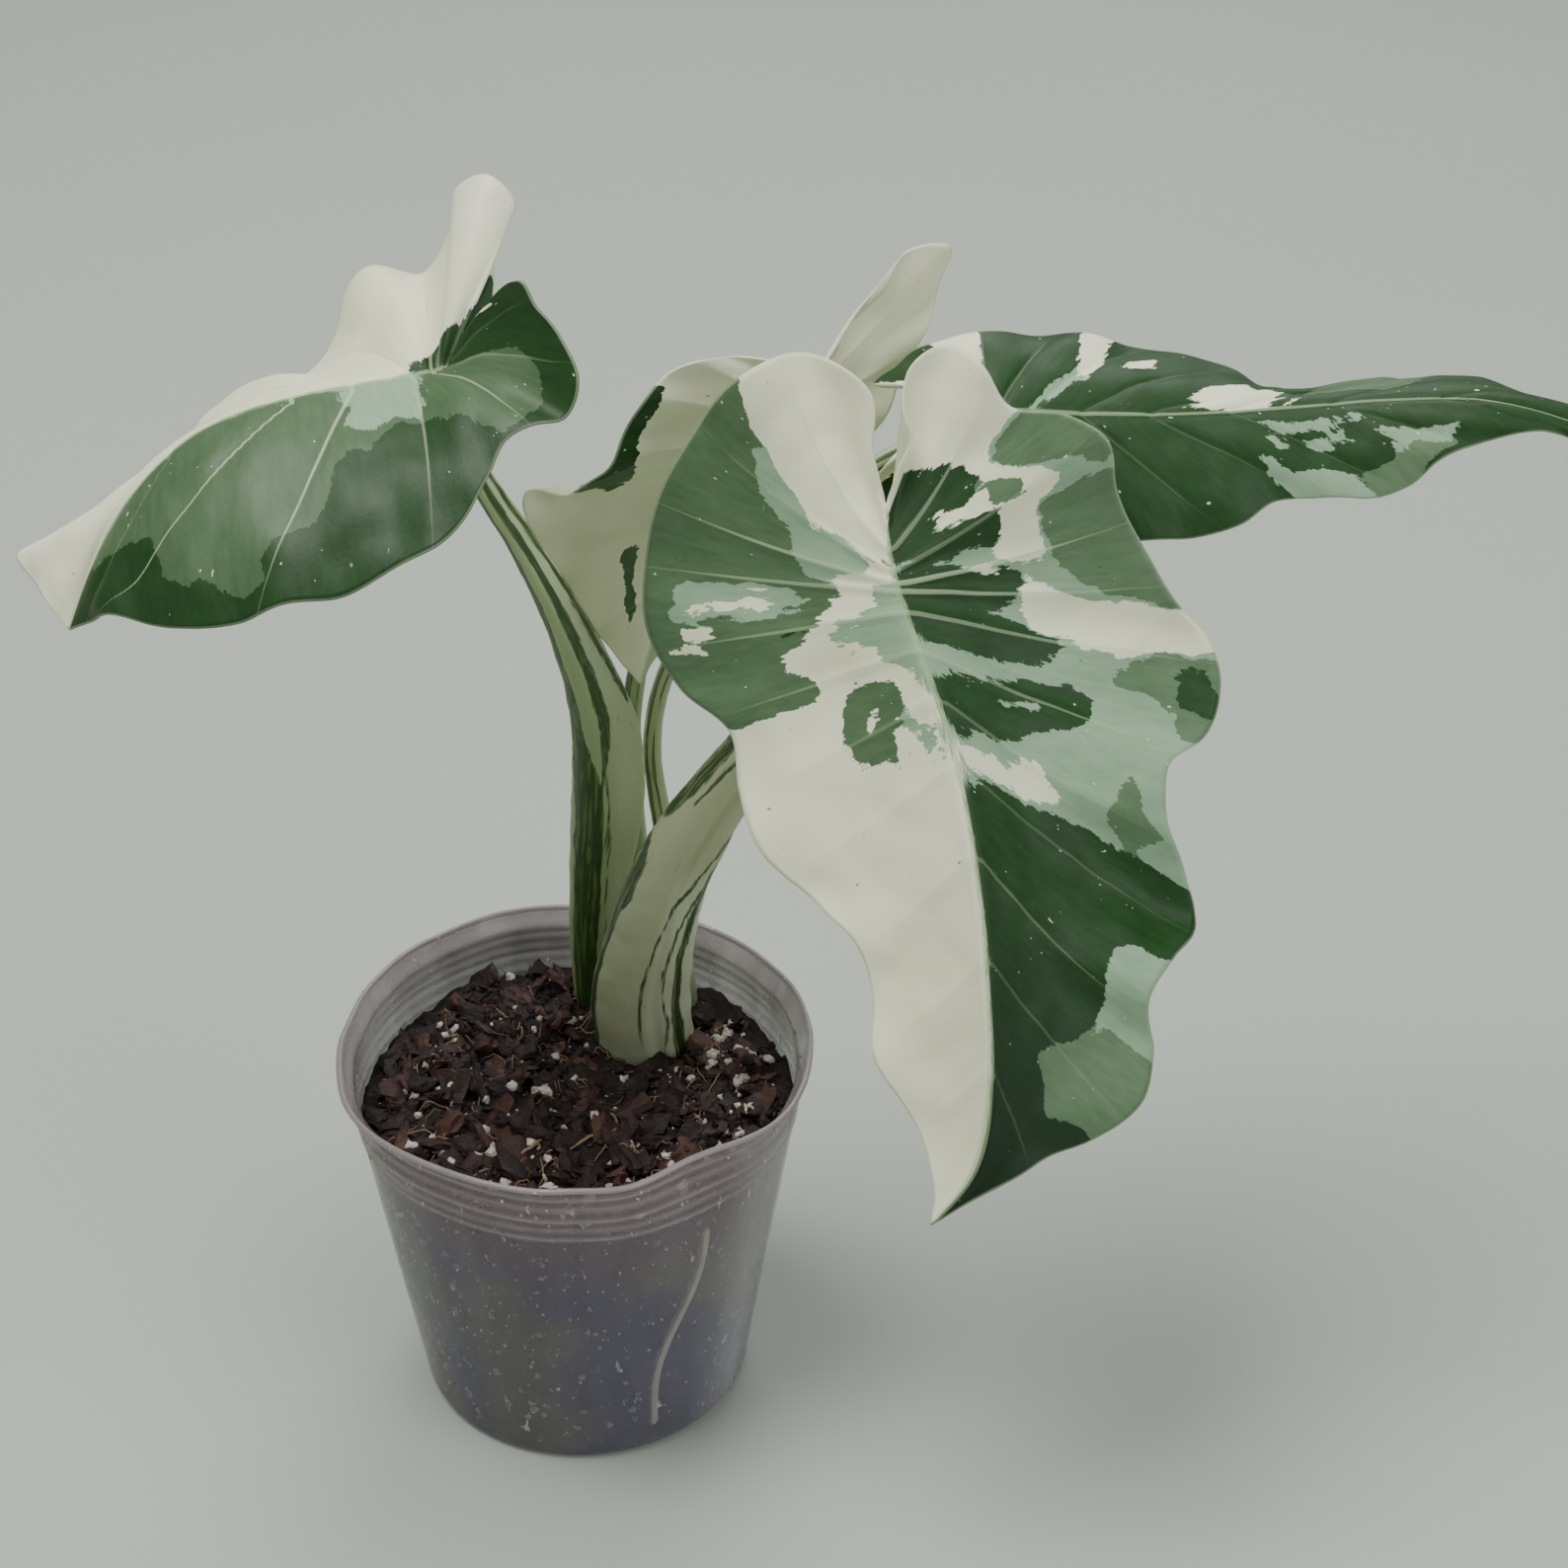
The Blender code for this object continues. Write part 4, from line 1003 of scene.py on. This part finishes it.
def build_petiole(name, look, shape, tint, steps=150, sides=96):
    """A tapering stalk. shape and tint take the share of the length and the direction round it."""
    stations = PETIOLES[name]
    places = [np.array(p, float) for p, _, _ in stations]
    centre = smooth_run(places)
    gaps = np.linalg.norm(np.diff(np.array(places), axis=0), axis=1)
    knots = np.concatenate([[0], np.cumsum(gaps)]) / gaps.sum()
    length = gaps.sum()
    share = np.linspace(0, 1, steps + 1)
    middle = centre(share)
    forward = centre(np.clip(share + 0.01, 0, 1)) - centre(np.clip(share - 0.01, 0, 1))
    forward /= np.linalg.norm(forward, axis=1, keepdims=True)
    sideways = np.cross((0, 1, 0), forward)
    sideways /= np.linalg.norm(sideways, axis=1, keepdims=True)
    depthways = np.cross(forward, sideways)
    half_width = smooth_run([(k * 100, w, 0) for k, (_, w, _) in zip(knots, stations)])(share)[:, 1]
    half_depth = smooth_run([(k * 100, d, 0) for k, (_, _, d) in zip(knots, stations)])(share)[:, 1]
    turns = bearings_round(sides)
    lateral, front = np.cos(turns), np.sin(turns)
    wide, deep = shape(share[:, None], lateral[None, :], front[None, :])
    points = (
        middle[:, None]
        + sideways[:, None] * (half_width[:, None] * wide)[..., None]
        + depthways[:, None] * (half_depth[:, None] * deep)[..., None]
    )
    wobble = bumpiness(points.reshape(-1, 3), 0.12, 5).reshape(points.shape[:2])
    outward = points - middle[:, None]
    points = points + outward * (UNEVEN * wobble)[..., None]
    index = np.arange((steps + 1) * sides).reshape(steps + 1, sides)
    around = np.roll(index, -1, axis=1)
    quads = np.stack([index[:-1], around[:-1], around[1:], index[1:]], axis=-1).reshape(-1, 4)
    faces = [tuple(int(i) for i in q) for q in quads]
    faces += [tuple(int(i) for i in index[0][::-1]), tuple(int(i) for i in index[-1])]
    mesh = mesh_of(f"stalk_{name}", points.reshape(-1, 3) * MM + CROWN, faces)
    round_it = (lateral[None, :] * half_width[:, None], front[None, :] * half_width[:, None])
    skin = np.stack(np.broadcast_arrays(*round_it, share[:, None] * length), axis=-1)
    store(mesh, "skin", skin.reshape(-1, 3))
    store(mesh, "band", band_depths(name, share, lateral, half_width).ravel())
    store(mesh, "tint", np.broadcast_to(tint(share[:, None], lateral[None, :]), index.shape).ravel())
    stalk = link(f"stalk_{name}", mesh, look)
    stands_for(stalk, f"petiole_{name}")


def left_shape(share, lateral, front):
    """Round on the left and drawn out to a thin sheath edge on the right, up to where the sheath ends."""
    sheath = step_up(0.60 - share, 0, 0.1) * step_up(lateral, -0.1, 0.9)
    return lateral + 0 * share, front * (1 - 0.72 * sheath)


def front_shape(share, lateral, front):
    """Two long swellings with a shallow groove between them, where the sheath wraps the stalk."""
    groove = 0.22 * np.exp(-(((lateral - 0.28) / 0.13) ** 2)) * step_up(0.75 - share, 0, 0.2)
    return lateral + 0 * share, front * (1 - groove * (front < 0))


def plain_shape(share, lateral, front):
    return lateral + 0 * share, front + 0 * share


def build_petioles():
    pale_stalk = petiole_look("stalk_pale", srgb(226, 232, 204), srgb(186, 192, 154), srgb(56, 80, 36))
    green_stalk = petiole_look("stalk_green", srgb(202, 214, 176), srgb(132, 152, 96), srgb(52, 80, 32))

    def front_tint(s, x):
        pale_side = 0.75 * step_up(x, 0.0, 0.3) * step_up(0.42 - s, 0, 0.1)
        return 0.85 - pale_side - 0.5 * step_up(0.06 - s, 0, 0.05)

    build_petiole("left", green_stalk, left_shape, lambda s, x: 0.75 - 0.65 * step_up(x, -0.5, 0.6) + 0 * s)
    build_petiole("front", pale_stalk, front_shape, front_tint)
    build_petiole("back", green_stalk, plain_shape, lambda s, x: 0.4 + 0 * x, sides=32)
    build_petiole("right", green_stalk, plain_shape, lambda s, x: 0.35 + 0 * x, sides=32)


# ---------------------------------------------------------------- the pot


def wall_radius(height):
    return FOOT_RADIUS + (RIM_RADIUS - RIM_BEAD - FOOT_RADIUS) * height / POT_HEIGHT


def ridge(height):
    """How far the ridge rings stand out at a height."""
    middle = POT_HEIGHT - RIDGE_DROP - np.arange(RIDGE_COUNT) * RIDGE_PITCH
    return RIDGE * np.exp(-(((height - middle) / (0.6 * MM)) ** 2)).sum()


def wall_line():
    """Radius and height along the middle of the wall, from the rim's bead down to the centre of the foot."""
    line = []
    bead = (RIM_RADIUS - LIP, POT_HEIGHT - LIP)
    roll = LIP - WALL / 2
    for turn in np.radians(np.linspace(-100, 170, 14)):
        line.append((bead[0] + roll * math.cos(turn), bead[1] + roll * math.sin(turn)))
    for height in np.linspace(LIP_BOTTOM, FOOT_ROUNDING, 110):
        neck = step_up(height, POT_HEIGHT - 14 * MM, POT_HEIGHT - 6 * MM)
        neck *= 1 - step_up(height, POT_HEIGHT - 5 * MM, LIP_BOTTOM)
        line.append((wall_radius(height) - WALL / 2 + ridge(height) - NECK * neck, height))
    centre = wall_radius(FOOT_ROUNDING) - FOOT_ROUNDING
    reach = FOOT_ROUNDING - WALL / 2
    for turn in np.linspace(0, math.pi / 2, 8)[1:]:
        line.append((centre + reach * math.cos(turn), FOOT_ROUNDING - reach * math.sin(turn)))
    for share in (0.75, 0.5, 0.25):
        line.append((centre * share, WALL / 2))
    return line


def crumple(bearing, height):
    """How far the thin wall is pushed out at a place: soft dents and flutes, none at the foot."""
    x, y = math.cos(bearing), math.sin(bearing)
    loose = height / POT_HEIGHT
    soft = noise.noise(Vector((1.3 * x + 4, 1.3 * y, loose * 1.1)))
    flutes = noise.noise(Vector((5.5 * x, 5.5 * y + 9, loose * 0.8)))
    lip = LIP_WAVES * noise.noise(Vector((3.2 * x, 3.2 * y, 7)))
    for middle, half, out in LIP_DENTS:
        off = (math.degrees(bearing) - middle + 180) % 360 - 180
        lip += out * math.exp(-((off / half) ** 2))
    lip *= max(0, loose - 0.8) / 0.2
    return (DENTS * soft * loose + FLUTES * flutes * math.sin(math.pi * min(1, loose * 1.05)) + lip) * MM


def build_pot(look, around=180):
    line = wall_line()
    points = []
    for r, z in line:
        for bearing in bearings_round(around):
            out = r + crumple(bearing, z) * min(1, r / FOOT_RADIUS)
            droop = 1.2 * MM * noise.noise(Vector((2.4 * math.cos(bearing), 2.4 * math.sin(bearing), 3)))
            droop = (droop - 0.5 * MM) * max(0, z / POT_HEIGHT - 0.7) / 0.3
            points.append(polar(out, bearing, z + droop))
    faces = ring_faces(len(line), around)
    points.append((0, 0, WALL / 2))
    base = (len(line) - 1) * around
    faces += [(base + a, len(points) - 1, base + (a + 1) % around) for a in range(around)]
    mesh = mesh_of("nursery_pot", points, faces)
    # Painted highlight, partly real: the rim and the ridge crests get a paler, cloudier tone, for the thicker
    # plastic and for a highlight along them.
    thick_and_highlit_parts = [0.45 if z > LIP_BOTTOM else 0.5 * ridge(z) / RIDGE for _, z in line]
    store(mesh, "thick", [*np.repeat(thick_and_highlit_parts, around), 0])
    bearings = np.degrees(bearings_round(around))
    hazed = sum(np.exp(-((((bearings - middle + 180) % 360 - 180) / half) ** 2)) for middle, half in HAZED)
    lower = [1.0 if z < LIP_BOTTOM else 0.3 for _, z in line]
    store(mesh, "hazed", [*np.outer(lower, hazed).ravel(), 0])
    store(mesh, "raised", [*np.repeat([z / POT_HEIGHT for _, z in line], around), 0])
    pot = link("nursery_pot", mesh, look)
    thick = pot.modifiers.new("Wall", "SOLIDIFY")
    thick.thickness = WALL
    thick.offset = 0
    stands_for(pot, "pot")


# ---------------------------------------------------------------- the mix and what lies on it

FRONT_FOOT = (CROWN[0] + 2 * MM, CROWN[1] - 7 * MM)  # where the front petiole goes into the mix
FOOT_HOLLOW = 3.5 * MM  # how far the mix sinks round that foot
HOLLOW_REACH = 13 * MM
SWELLS = 2.0  # the mix's broad swells and its lumps, in millimetres
LUMPS = 2.6
BACK_RISE = 2.5 * MM
EDGE_DROP = 2.2 * MM
WALL_GAP = 0.35 * MM  # between the wall and what it holds
BARK_SHREDS = 1100
PERLITE_CRUMBS = 620
WALL_CRUMBS = 380
COIR_THREADS = 150
DROPLETS = 340


def mix_height(x, y):
    """The lumpy surface of the mix."""
    reach = math.hypot(x, y) / MIX_RADIUS
    big = noise.noise(Vector((x * 40, y * 40, 2.0)))
    lumps = noise.fractal(Vector((x * 130, y * 130, 5.0)), 0.7, 2.1, 4)
    from_foot = math.hypot(x - FRONT_FOOT[0], y - FRONT_FOOT[1] + 4 * MM)
    hollow = FOOT_HOLLOW * math.exp(-((from_foot / HOLLOW_REACH) ** 2))
    back = BACK_RISE * max(0, y) / MIX_RADIUS
    return MIX_TOP + (SWELLS * big + LUMPS * lumps) * MM - hollow + back - EDGE_DROP * reach**8


def fill_radius(bearing, height):
    """How far out the mix can reach at a place."""
    return wall_radius(height) + crumple(bearing, height) - WALL - WALL_GAP


def build_mix(look, around=220, rings=70):
    points, faces = [(0, 0, mix_height(0, 0))], []
    for ring in range(1, rings + 1):
        for bearing in bearings_round(around):
            x, y, _ = polar(fill_radius(bearing, MIX_TOP) * ring / rings, bearing, 0)
            points.append((x, y, mix_height(x, y)))
    depths = np.linspace(0, 1, 60)[1:]
    for share in depths:
        for a, bearing in enumerate(bearings_round(around)):
            top = points[1 + (rings - 1) * around + a][2]
            height = top + (FOOT_ROUNDING - top) * share
            place = Vector((math.cos(bearing) * 55, math.sin(bearing) * 55, height / MM))
            lumps = noise.fractal(place * 0.16, 0.7, 2.1, 4)
            hollows = 1.1 * MM * (0.45 - lumps)
            r = fill_radius(bearing, height) - max(0.05 * MM, min(2.4 * MM, hollows))
            points.append(polar(r, bearing, height))
    count = rings + len(depths)
    faces += [(0, 1 + a, 1 + (a + 1) % around) for a in range(around)]
    faces += ring_faces(count + 1, around, first=1)
    for bearing in bearings_round(around):
        points.append(polar(FOOT_RADIUS - FOOT_ROUNDING, bearing, WALL + 0.3 * MM))
    base = 1 + count * around
    faces.append(tuple(base + a for a in range(around))[::-1])
    mix = link("bark_mix", mesh_of("bark_mix", points, faces), look)
    stands_for(mix, "potting_mix")


def lump(chance, length, width, height, steps=2, boxy=0.55, rough=1.0):
    """The points and faces of one broken piece, about its own centre. boxy squares it off, from 0 to 1."""
    work = bmesh.new()
    bmesh.ops.create_icosphere(work, subdivisions=steps, radius=1)
    seed = Vector((chance.uniform(0, 99), chance.uniform(0, 99), chance.uniform(0, 99)))
    points = []
    for vert in work.verts:
        p = vert.co / max(abs(c) for c in vert.co) ** boxy
        p *= 1 + rough * (0.30 * noise.noise(p * 1.3 + seed) + 0.16 * noise.noise(p * 4 + seed))
        points.append((p.x * length, p.y * width, p.z * height))
    faces = [tuple(v.index for v in f.verts) for f in work.faces]
    work.free()
    return np.array(points), faces


def turned_about(chance, points, tilt):
    """The points turned by a random bearing and tipped by up to tilt."""
    tips = chance.uniform(-tilt, tilt), chance.uniform(-tilt, tilt)
    turn = Euler((*tips, chance.uniform(0, math.tau))).to_matrix()
    return points @ np.array(turn).T


def scatter(name, look, count, chance, make, place, smooth=True):
    """Many loose pieces as one object: make gives a piece's shape, and place where it lies."""
    points, faces, tones, used = [], [], [], 0
    for _ in range(count):
        shape, sides = make()
        spot = place(shape)
        if spot is None:
            continue
        points.append(shape + spot)
        faces += [tuple(i + used for i in side) for side in sides]
        tones.append(np.full(len(shape), chance.random() ** 2.5))
        used += len(shape)
    mesh = mesh_of(name, np.concatenate(points), faces, smooth)
    store(mesh, "tone", np.concatenate(tones))
    made = link(name, mesh, look)
    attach(made, "root")


def on_mix(chance, clear=0.0, sink=0.35, clusters=()):
    """Where a piece lies on the mix, clear of the petioles' foot. clusters are (x, y, spread, share)."""

    def spread_out():
        r = (MIX_RADIUS - 3.5 * MM) * math.sqrt(chance.random())
        bearing = chance.uniform(0, math.tau)
        return r * math.cos(bearing), r * math.sin(bearing)

    def place(shape):
        for _ in range(20):
            x, y = spread_out()
            pick = chance.random()
            for middle_x, middle_y, spread, share in clusters:
                if pick < share:
                    x = middle_x + chance.gauss(0, spread)
                    y = middle_y + chance.gauss(0, spread)
                    break
                pick -= share
            wall = fill_radius(math.atan2(y, x), MIX_TOP + 6 * MM)
            inside = math.hypot(x, y) < min(wall - 5 * MM, MIX_RADIUS - 3 * MM)
            far = min(math.hypot(x - foot[0], y - foot[1]) for foot in (CROWN, FRONT_FOOT))
            if inside and far > clear:
                low = -shape[:, 2].min()
                return np.array((x, y, mix_height(x, y) + low * (1 - 2 * sink)))
        return None

    return place


# Where the white grains gather on the mix, in metres: place, spread, and share of all the grains.
GRAIN_CLUSTERS = (
    (-0.002, -0.047, 0.004, 0.12),
    (0.040, 0.014, 0.005, 0.12),
    (0.036, -0.012, 0.007, 0.10),
    (0.038, 0.024, 0.004, 0.05),
    (-0.018, -0.030, 0.008, 0.10),
    (-0.034, 0.010, 0.006, 0.06),
)


def build_loose_pieces(looks):
    chance = random.Random(21)
    kinds = (("bark_chip", "bark", 1.0, 0.7), ("perlite_grain", "perlite", 0.9, 0.4))
    for prefix, kind, size, boxy in kinds:
        for node in sorted(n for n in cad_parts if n.startswith(prefix)):
            low, high = (np.array(c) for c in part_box(node))
            half = (high - low) / 2 * size
            shape, sides = lump(chance, *half, steps=3, boxy=boxy)
            shape = turned_about(chance, shape, 0.35)
            middle = (low + high) / 2
            middle[2] = mix_height(middle[0], middle[1]) - shape[:, 2].min() * 0.5
            mesh = mesh_of("loose_" + node, shape + middle, sides)
            store(mesh, "tone", np.full(len(shape), 0.6 * chance.random() ** 2))
            piece = link("loose_" + node, mesh, looks[kind])
            stands_for(piece, node)

    def chips():
        size = (0.5 + 4.4 * chance.random() ** 2.6) * MM
        width, height = size * chance.uniform(0.3, 0.9), size * chance.uniform(0.2, 0.5)
        shape, sides = lump(chance, size, width, height, boxy=0.9, rough=1.6)
        return turned_about(chance, shape, 0.8), sides

    def grains():
        size = (0.25 + 1.5 * chance.random() ** 2.4) * MM
        width, height = size * chance.uniform(0.6, 1), size * chance.uniform(0.6, 1)
        shape, sides = lump(chance, size, width, height, boxy=0.4, rough=2.0)
        return turned_about(chance, shape, 1.5), sides

    anywhere = on_mix(chance, 15 * MM, 0.38)
    on_clusters = on_mix(chance, 14 * MM, 0.3, GRAIN_CLUSTERS)
    scatter("bark_shreds", looks["bark"], BARK_SHREDS, chance, chips, anywhere, smooth=False)
    scatter("perlite_crumbs", looks["perlite"], PERLITE_CRUMBS, chance, grains, on_clusters)

    def in_wall(shape):
        bearing = chance.uniform(0, math.tau)
        height = chance.uniform(8 * MM, MIX_TOP - 2 * MM)
        return np.array(polar(fill_radius(bearing, height) - 1.0 * MM, bearing, height))

    def wall_grains():
        size = (0.25 + 1.0 * chance.random() ** 2) * MM
        shape, sides = lump(chance, size, size, size, boxy=0.4)
        return turned_about(chance, shape, 1.5), sides

    scatter("wall_crumbs", looks["perlite"], WALL_CRUMBS, chance, wall_grains, in_wall)


def tube(points, radius, sides=8):
    """Points and faces of a round thread through the points, with pointed ends."""
    run = np.array(points)
    forward = np.gradient(run, axis=0)
    forward /= np.linalg.norm(forward, axis=1, keepdims=True)
    up = np.where(np.abs(forward[:, 2:3]) > 0.9, (1.0, 0, 0), (0, 0, 1.0))
    sideways = np.cross(forward, up)
    sideways /= np.linalg.norm(sideways, axis=1, keepdims=True)
    other = np.cross(forward, sideways)
    turns = bearings_round(sides)
    taper = radius * np.clip(np.minimum(np.arange(len(run)), np.arange(len(run))[::-1]) / 2 + 0.35, 0, 1)
    rings = run[:, None] + taper[:, None, None] * (
        sideways[:, None] * np.cos(turns)[None, :, None] + other[:, None] * np.sin(turns)[None, :, None]
    )
    faces = []
    for row in range(len(run) - 1):
        for a in range(sides):
            b = (a + 1) % sides
            faces.append((row * sides + a, row * sides + b, (row + 1) * sides + b, (row + 1) * sides + a))
    faces.append(tuple(range(sides))[::-1])
    faces.append(tuple((len(run) - 1) * sides + a for a in range(sides)))
    return rings.reshape(-1, 3), faces


def build_fibres(looks):
    chance = random.Random(5)

    def curl(start, bearing, length, bend, radius, steps=14):
        run = []
        x, y = start
        for step in range(steps):
            run.append((x, y, mix_height(x, y) + radius + (0.5 + 0.9 * abs(math.sin(step * 0.5))) * MM))
            bearing += bend * (0.4 + chance.random())
            x += length / (steps - 1) * math.cos(bearing)
            y += length / (steps - 1) * math.sin(bearing)
        return tube(run, radius)

    for node in sorted(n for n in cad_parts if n.startswith("coir_fibre")):
        low, high = (np.array(c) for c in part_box(node))
        bearing = math.atan2(high[1] - low[1], high[0] - low[0])
        shape, sides = curl((low[0], low[1]), bearing, 20 * MM, chance.uniform(-0.12, 0.12), 0.4 * MM)
        piece = link("loose_" + node, mesh_of("loose_" + node, shape, sides), looks["fibre"])
        stands_for(piece, node)

    def threads():
        r = 44 * MM * math.sqrt(chance.random())
        around = chance.uniform(0, math.tau)
        start = (r * math.cos(around), r * math.sin(around))
        bearing, length = chance.uniform(0, math.tau), chance.uniform(5, 16) * MM
        bend, radius = chance.uniform(-0.25, 0.25), chance.uniform(0.07, 0.2) * MM
        return curl(start, bearing, length, bend, radius)

    scatter("coir_threads", looks["fibre"], COIR_THREADS, chance, threads, lambda shape: np.zeros(3))


ROOT_RADIUS = 1.3 * MM
ROOT_FOOT = 6 * MM  # the height where it ends
ROOT_BEARING = -51  # at its top, in degrees
ROOT_DRIFT = -14  # and how far round it has gone at its foot


def build_wall_root(look):
    """The root that runs down between the mix and the wall, over the length of the model's."""
    _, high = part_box("wall_root")
    run = []
    for share in np.linspace(0, 1, 60):
        height = high[2] + 2 * MM + (ROOT_FOOT - high[2]) * share
        bearing = math.radians(ROOT_BEARING + ROOT_DRIFT * share + 2.5 * math.sin(7 * share))
        run.append(polar(fill_radius(bearing, height) - 0.6 * MM, bearing, height))
    shape, sides = tube(run, ROOT_RADIUS, 12)
    piece = link("pale_root", mesh_of("pale_root", shape, sides), look)
    stands_for(piece, "wall_root")


def build_corm(look):
    """A rough brown knob at the foot of the petioles, which shows between them at the surface."""
    chance = random.Random(3)
    half = (CORM_HIGH[0] - CORM_LOW[0]) / 2
    tall = (CORM_HIGH[2] - CORM_LOW[2]) / 2
    shape, sides = lump(chance, half * 0.8, half * 0.75, tall * 0.9, steps=5)
    middle = np.array((CROWN[0], CROWN[1], CORM_HIGH[2] - tall * 0.95))
    piece = link("corm_knob", mesh_of("corm_knob", shape + middle, sides), look)
    stands_for(piece, "corm")


def build_droplets(look):
    """Condensation on the inside of the wall."""
    chance = random.Random(9)

    def drop():
        size = chance.uniform(0.18, 0.55) * MM
        shape, sides = lump(chance, size, size, size * 1.2, steps=1)
        return shape * 0.9, sides

    def on_wall(shape):
        bearing = chance.uniform(0, math.tau)
        height = 10 * MM + (POT_HEIGHT - 16 * MM) * chance.random() ** 0.8
        return np.array(polar(fill_radius(bearing, height) + 0.15 * MM, bearing, height))

    scatter("condensation", look, DROPLETS, chance, drop, on_wall)


# ---------------------------------------------------------------- stage


def build_stage():
    floor_look = Look("pale_floor")
    place = floor_look.place()
    shade = floor_look.mix(floor_look.noise(place, 3, 2), srgb(180, 185, 177), srgb(174, 180, 172))
    floor_look.set(Base_Color=shade, Roughness=0.85)
    span = 6.0  # half the floor's width, and how far it runs to the front and up at the back
    bend, back = 0.9, 1.6  # the radius of the curve at the back, and where it starts
    profile = [(-span, 0.0), (back, 0.0)]
    for turn in np.linspace(0, math.pi / 2, 12)[1:]:
        profile.append((back + bend * math.sin(turn), bend - bend * math.cos(turn)))
    profile.append((back + bend, span))
    points = [(side * span, y, z) for y, z in profile for side in (-1, 1)]
    faces = [(2 * i, 2 * i + 1, 2 * i + 3, 2 * i + 2) for i in range(len(profile) - 1)]
    floor = link("studio_floor", mesh_of("studio_floor", points, faces), floor_look.material)

    def area(name, place, aim, size, power, tone):
        light = bpy.data.lights.new(name, "AREA")
        light.shape = "DISK"
        light.size = size
        light.energy = power
        light.color = tone
        lamp = bpy.data.objects.new(name, light)
        bpy.context.scene.collection.objects.link(lamp)
        lamp.location = place
        lamp.rotation_euler = (Vector(aim) - Vector(place)).to_track_quat("-Z", "Y").to_euler()

    area("key", (-0.45, -0.15, 1.9), (0.05, 0, 0.15), 1.1, 35, (1.0, 0.985, 0.96))
    area("fill", (1.3, -0.9, 0.9), (0.05, 0, 0.18), 1.4, 11, (0.95, 0.98, 1.0))
    area("rim", (0.3, 1.2, 1.4), (0.05, 0, 0.2), 1.0, 10, (1, 1, 1))
    world = bpy.data.worlds.new("studio")
    bpy.context.scene.world = world
    world.use_nodes = True
    background = world.node_tree.nodes["Background"]
    background.inputs["Color"].default_value = (*srgb(205, 212, 204), 1)
    background.inputs["Strength"].default_value = 0.53


def build_camera():
    elevation = math.radians(32.8)
    distance = 0.785
    target = Vector((0.053, 0, 0.181))
    lens = bpy.data.cameras.new("camera")
    lens.lens = 75
    lens.sensor_width = 36
    lens.clip_start = 0.05
    camera = bpy.data.objects.new("camera", lens)
    bpy.context.scene.collection.objects.link(camera)
    camera.location = target + distance * Vector((0, -math.cos(elevation), math.sin(elevation)))
    camera.rotation_euler = (math.pi / 2 - elevation, 0, 0)
    bpy.context.scene.camera = camera


def main():
    build_camera()
    build_stage()
    leaf_looks = leaf_look("leaf_upper"), leaf_look("leaf_under", underside=True)
    for name in LEAVES:
        build_leaf(name, leaf_looks)
    build_petioles()
    build_pot(pot_look("clear_pot"))
    build_mix(mix_look("bark_mix"))
    looks = {
        "bark": bark_look("bark"),
        "perlite": perlite_look("perlite"),
        "fibre": fibre_look("coir", srgb(176, 146, 116), srgb(112, 84, 62)),
    }
    build_loose_pieces(looks)
    build_fibres(looks)
    build_wall_root(fibre_look("root", srgb(222, 214, 200), srgb(196, 184, 162)))
    build_corm(fibre_look("corm", srgb(96, 88, 44), srgb(58, 44, 26)))
    build_droplets(water_look("water"))


main()
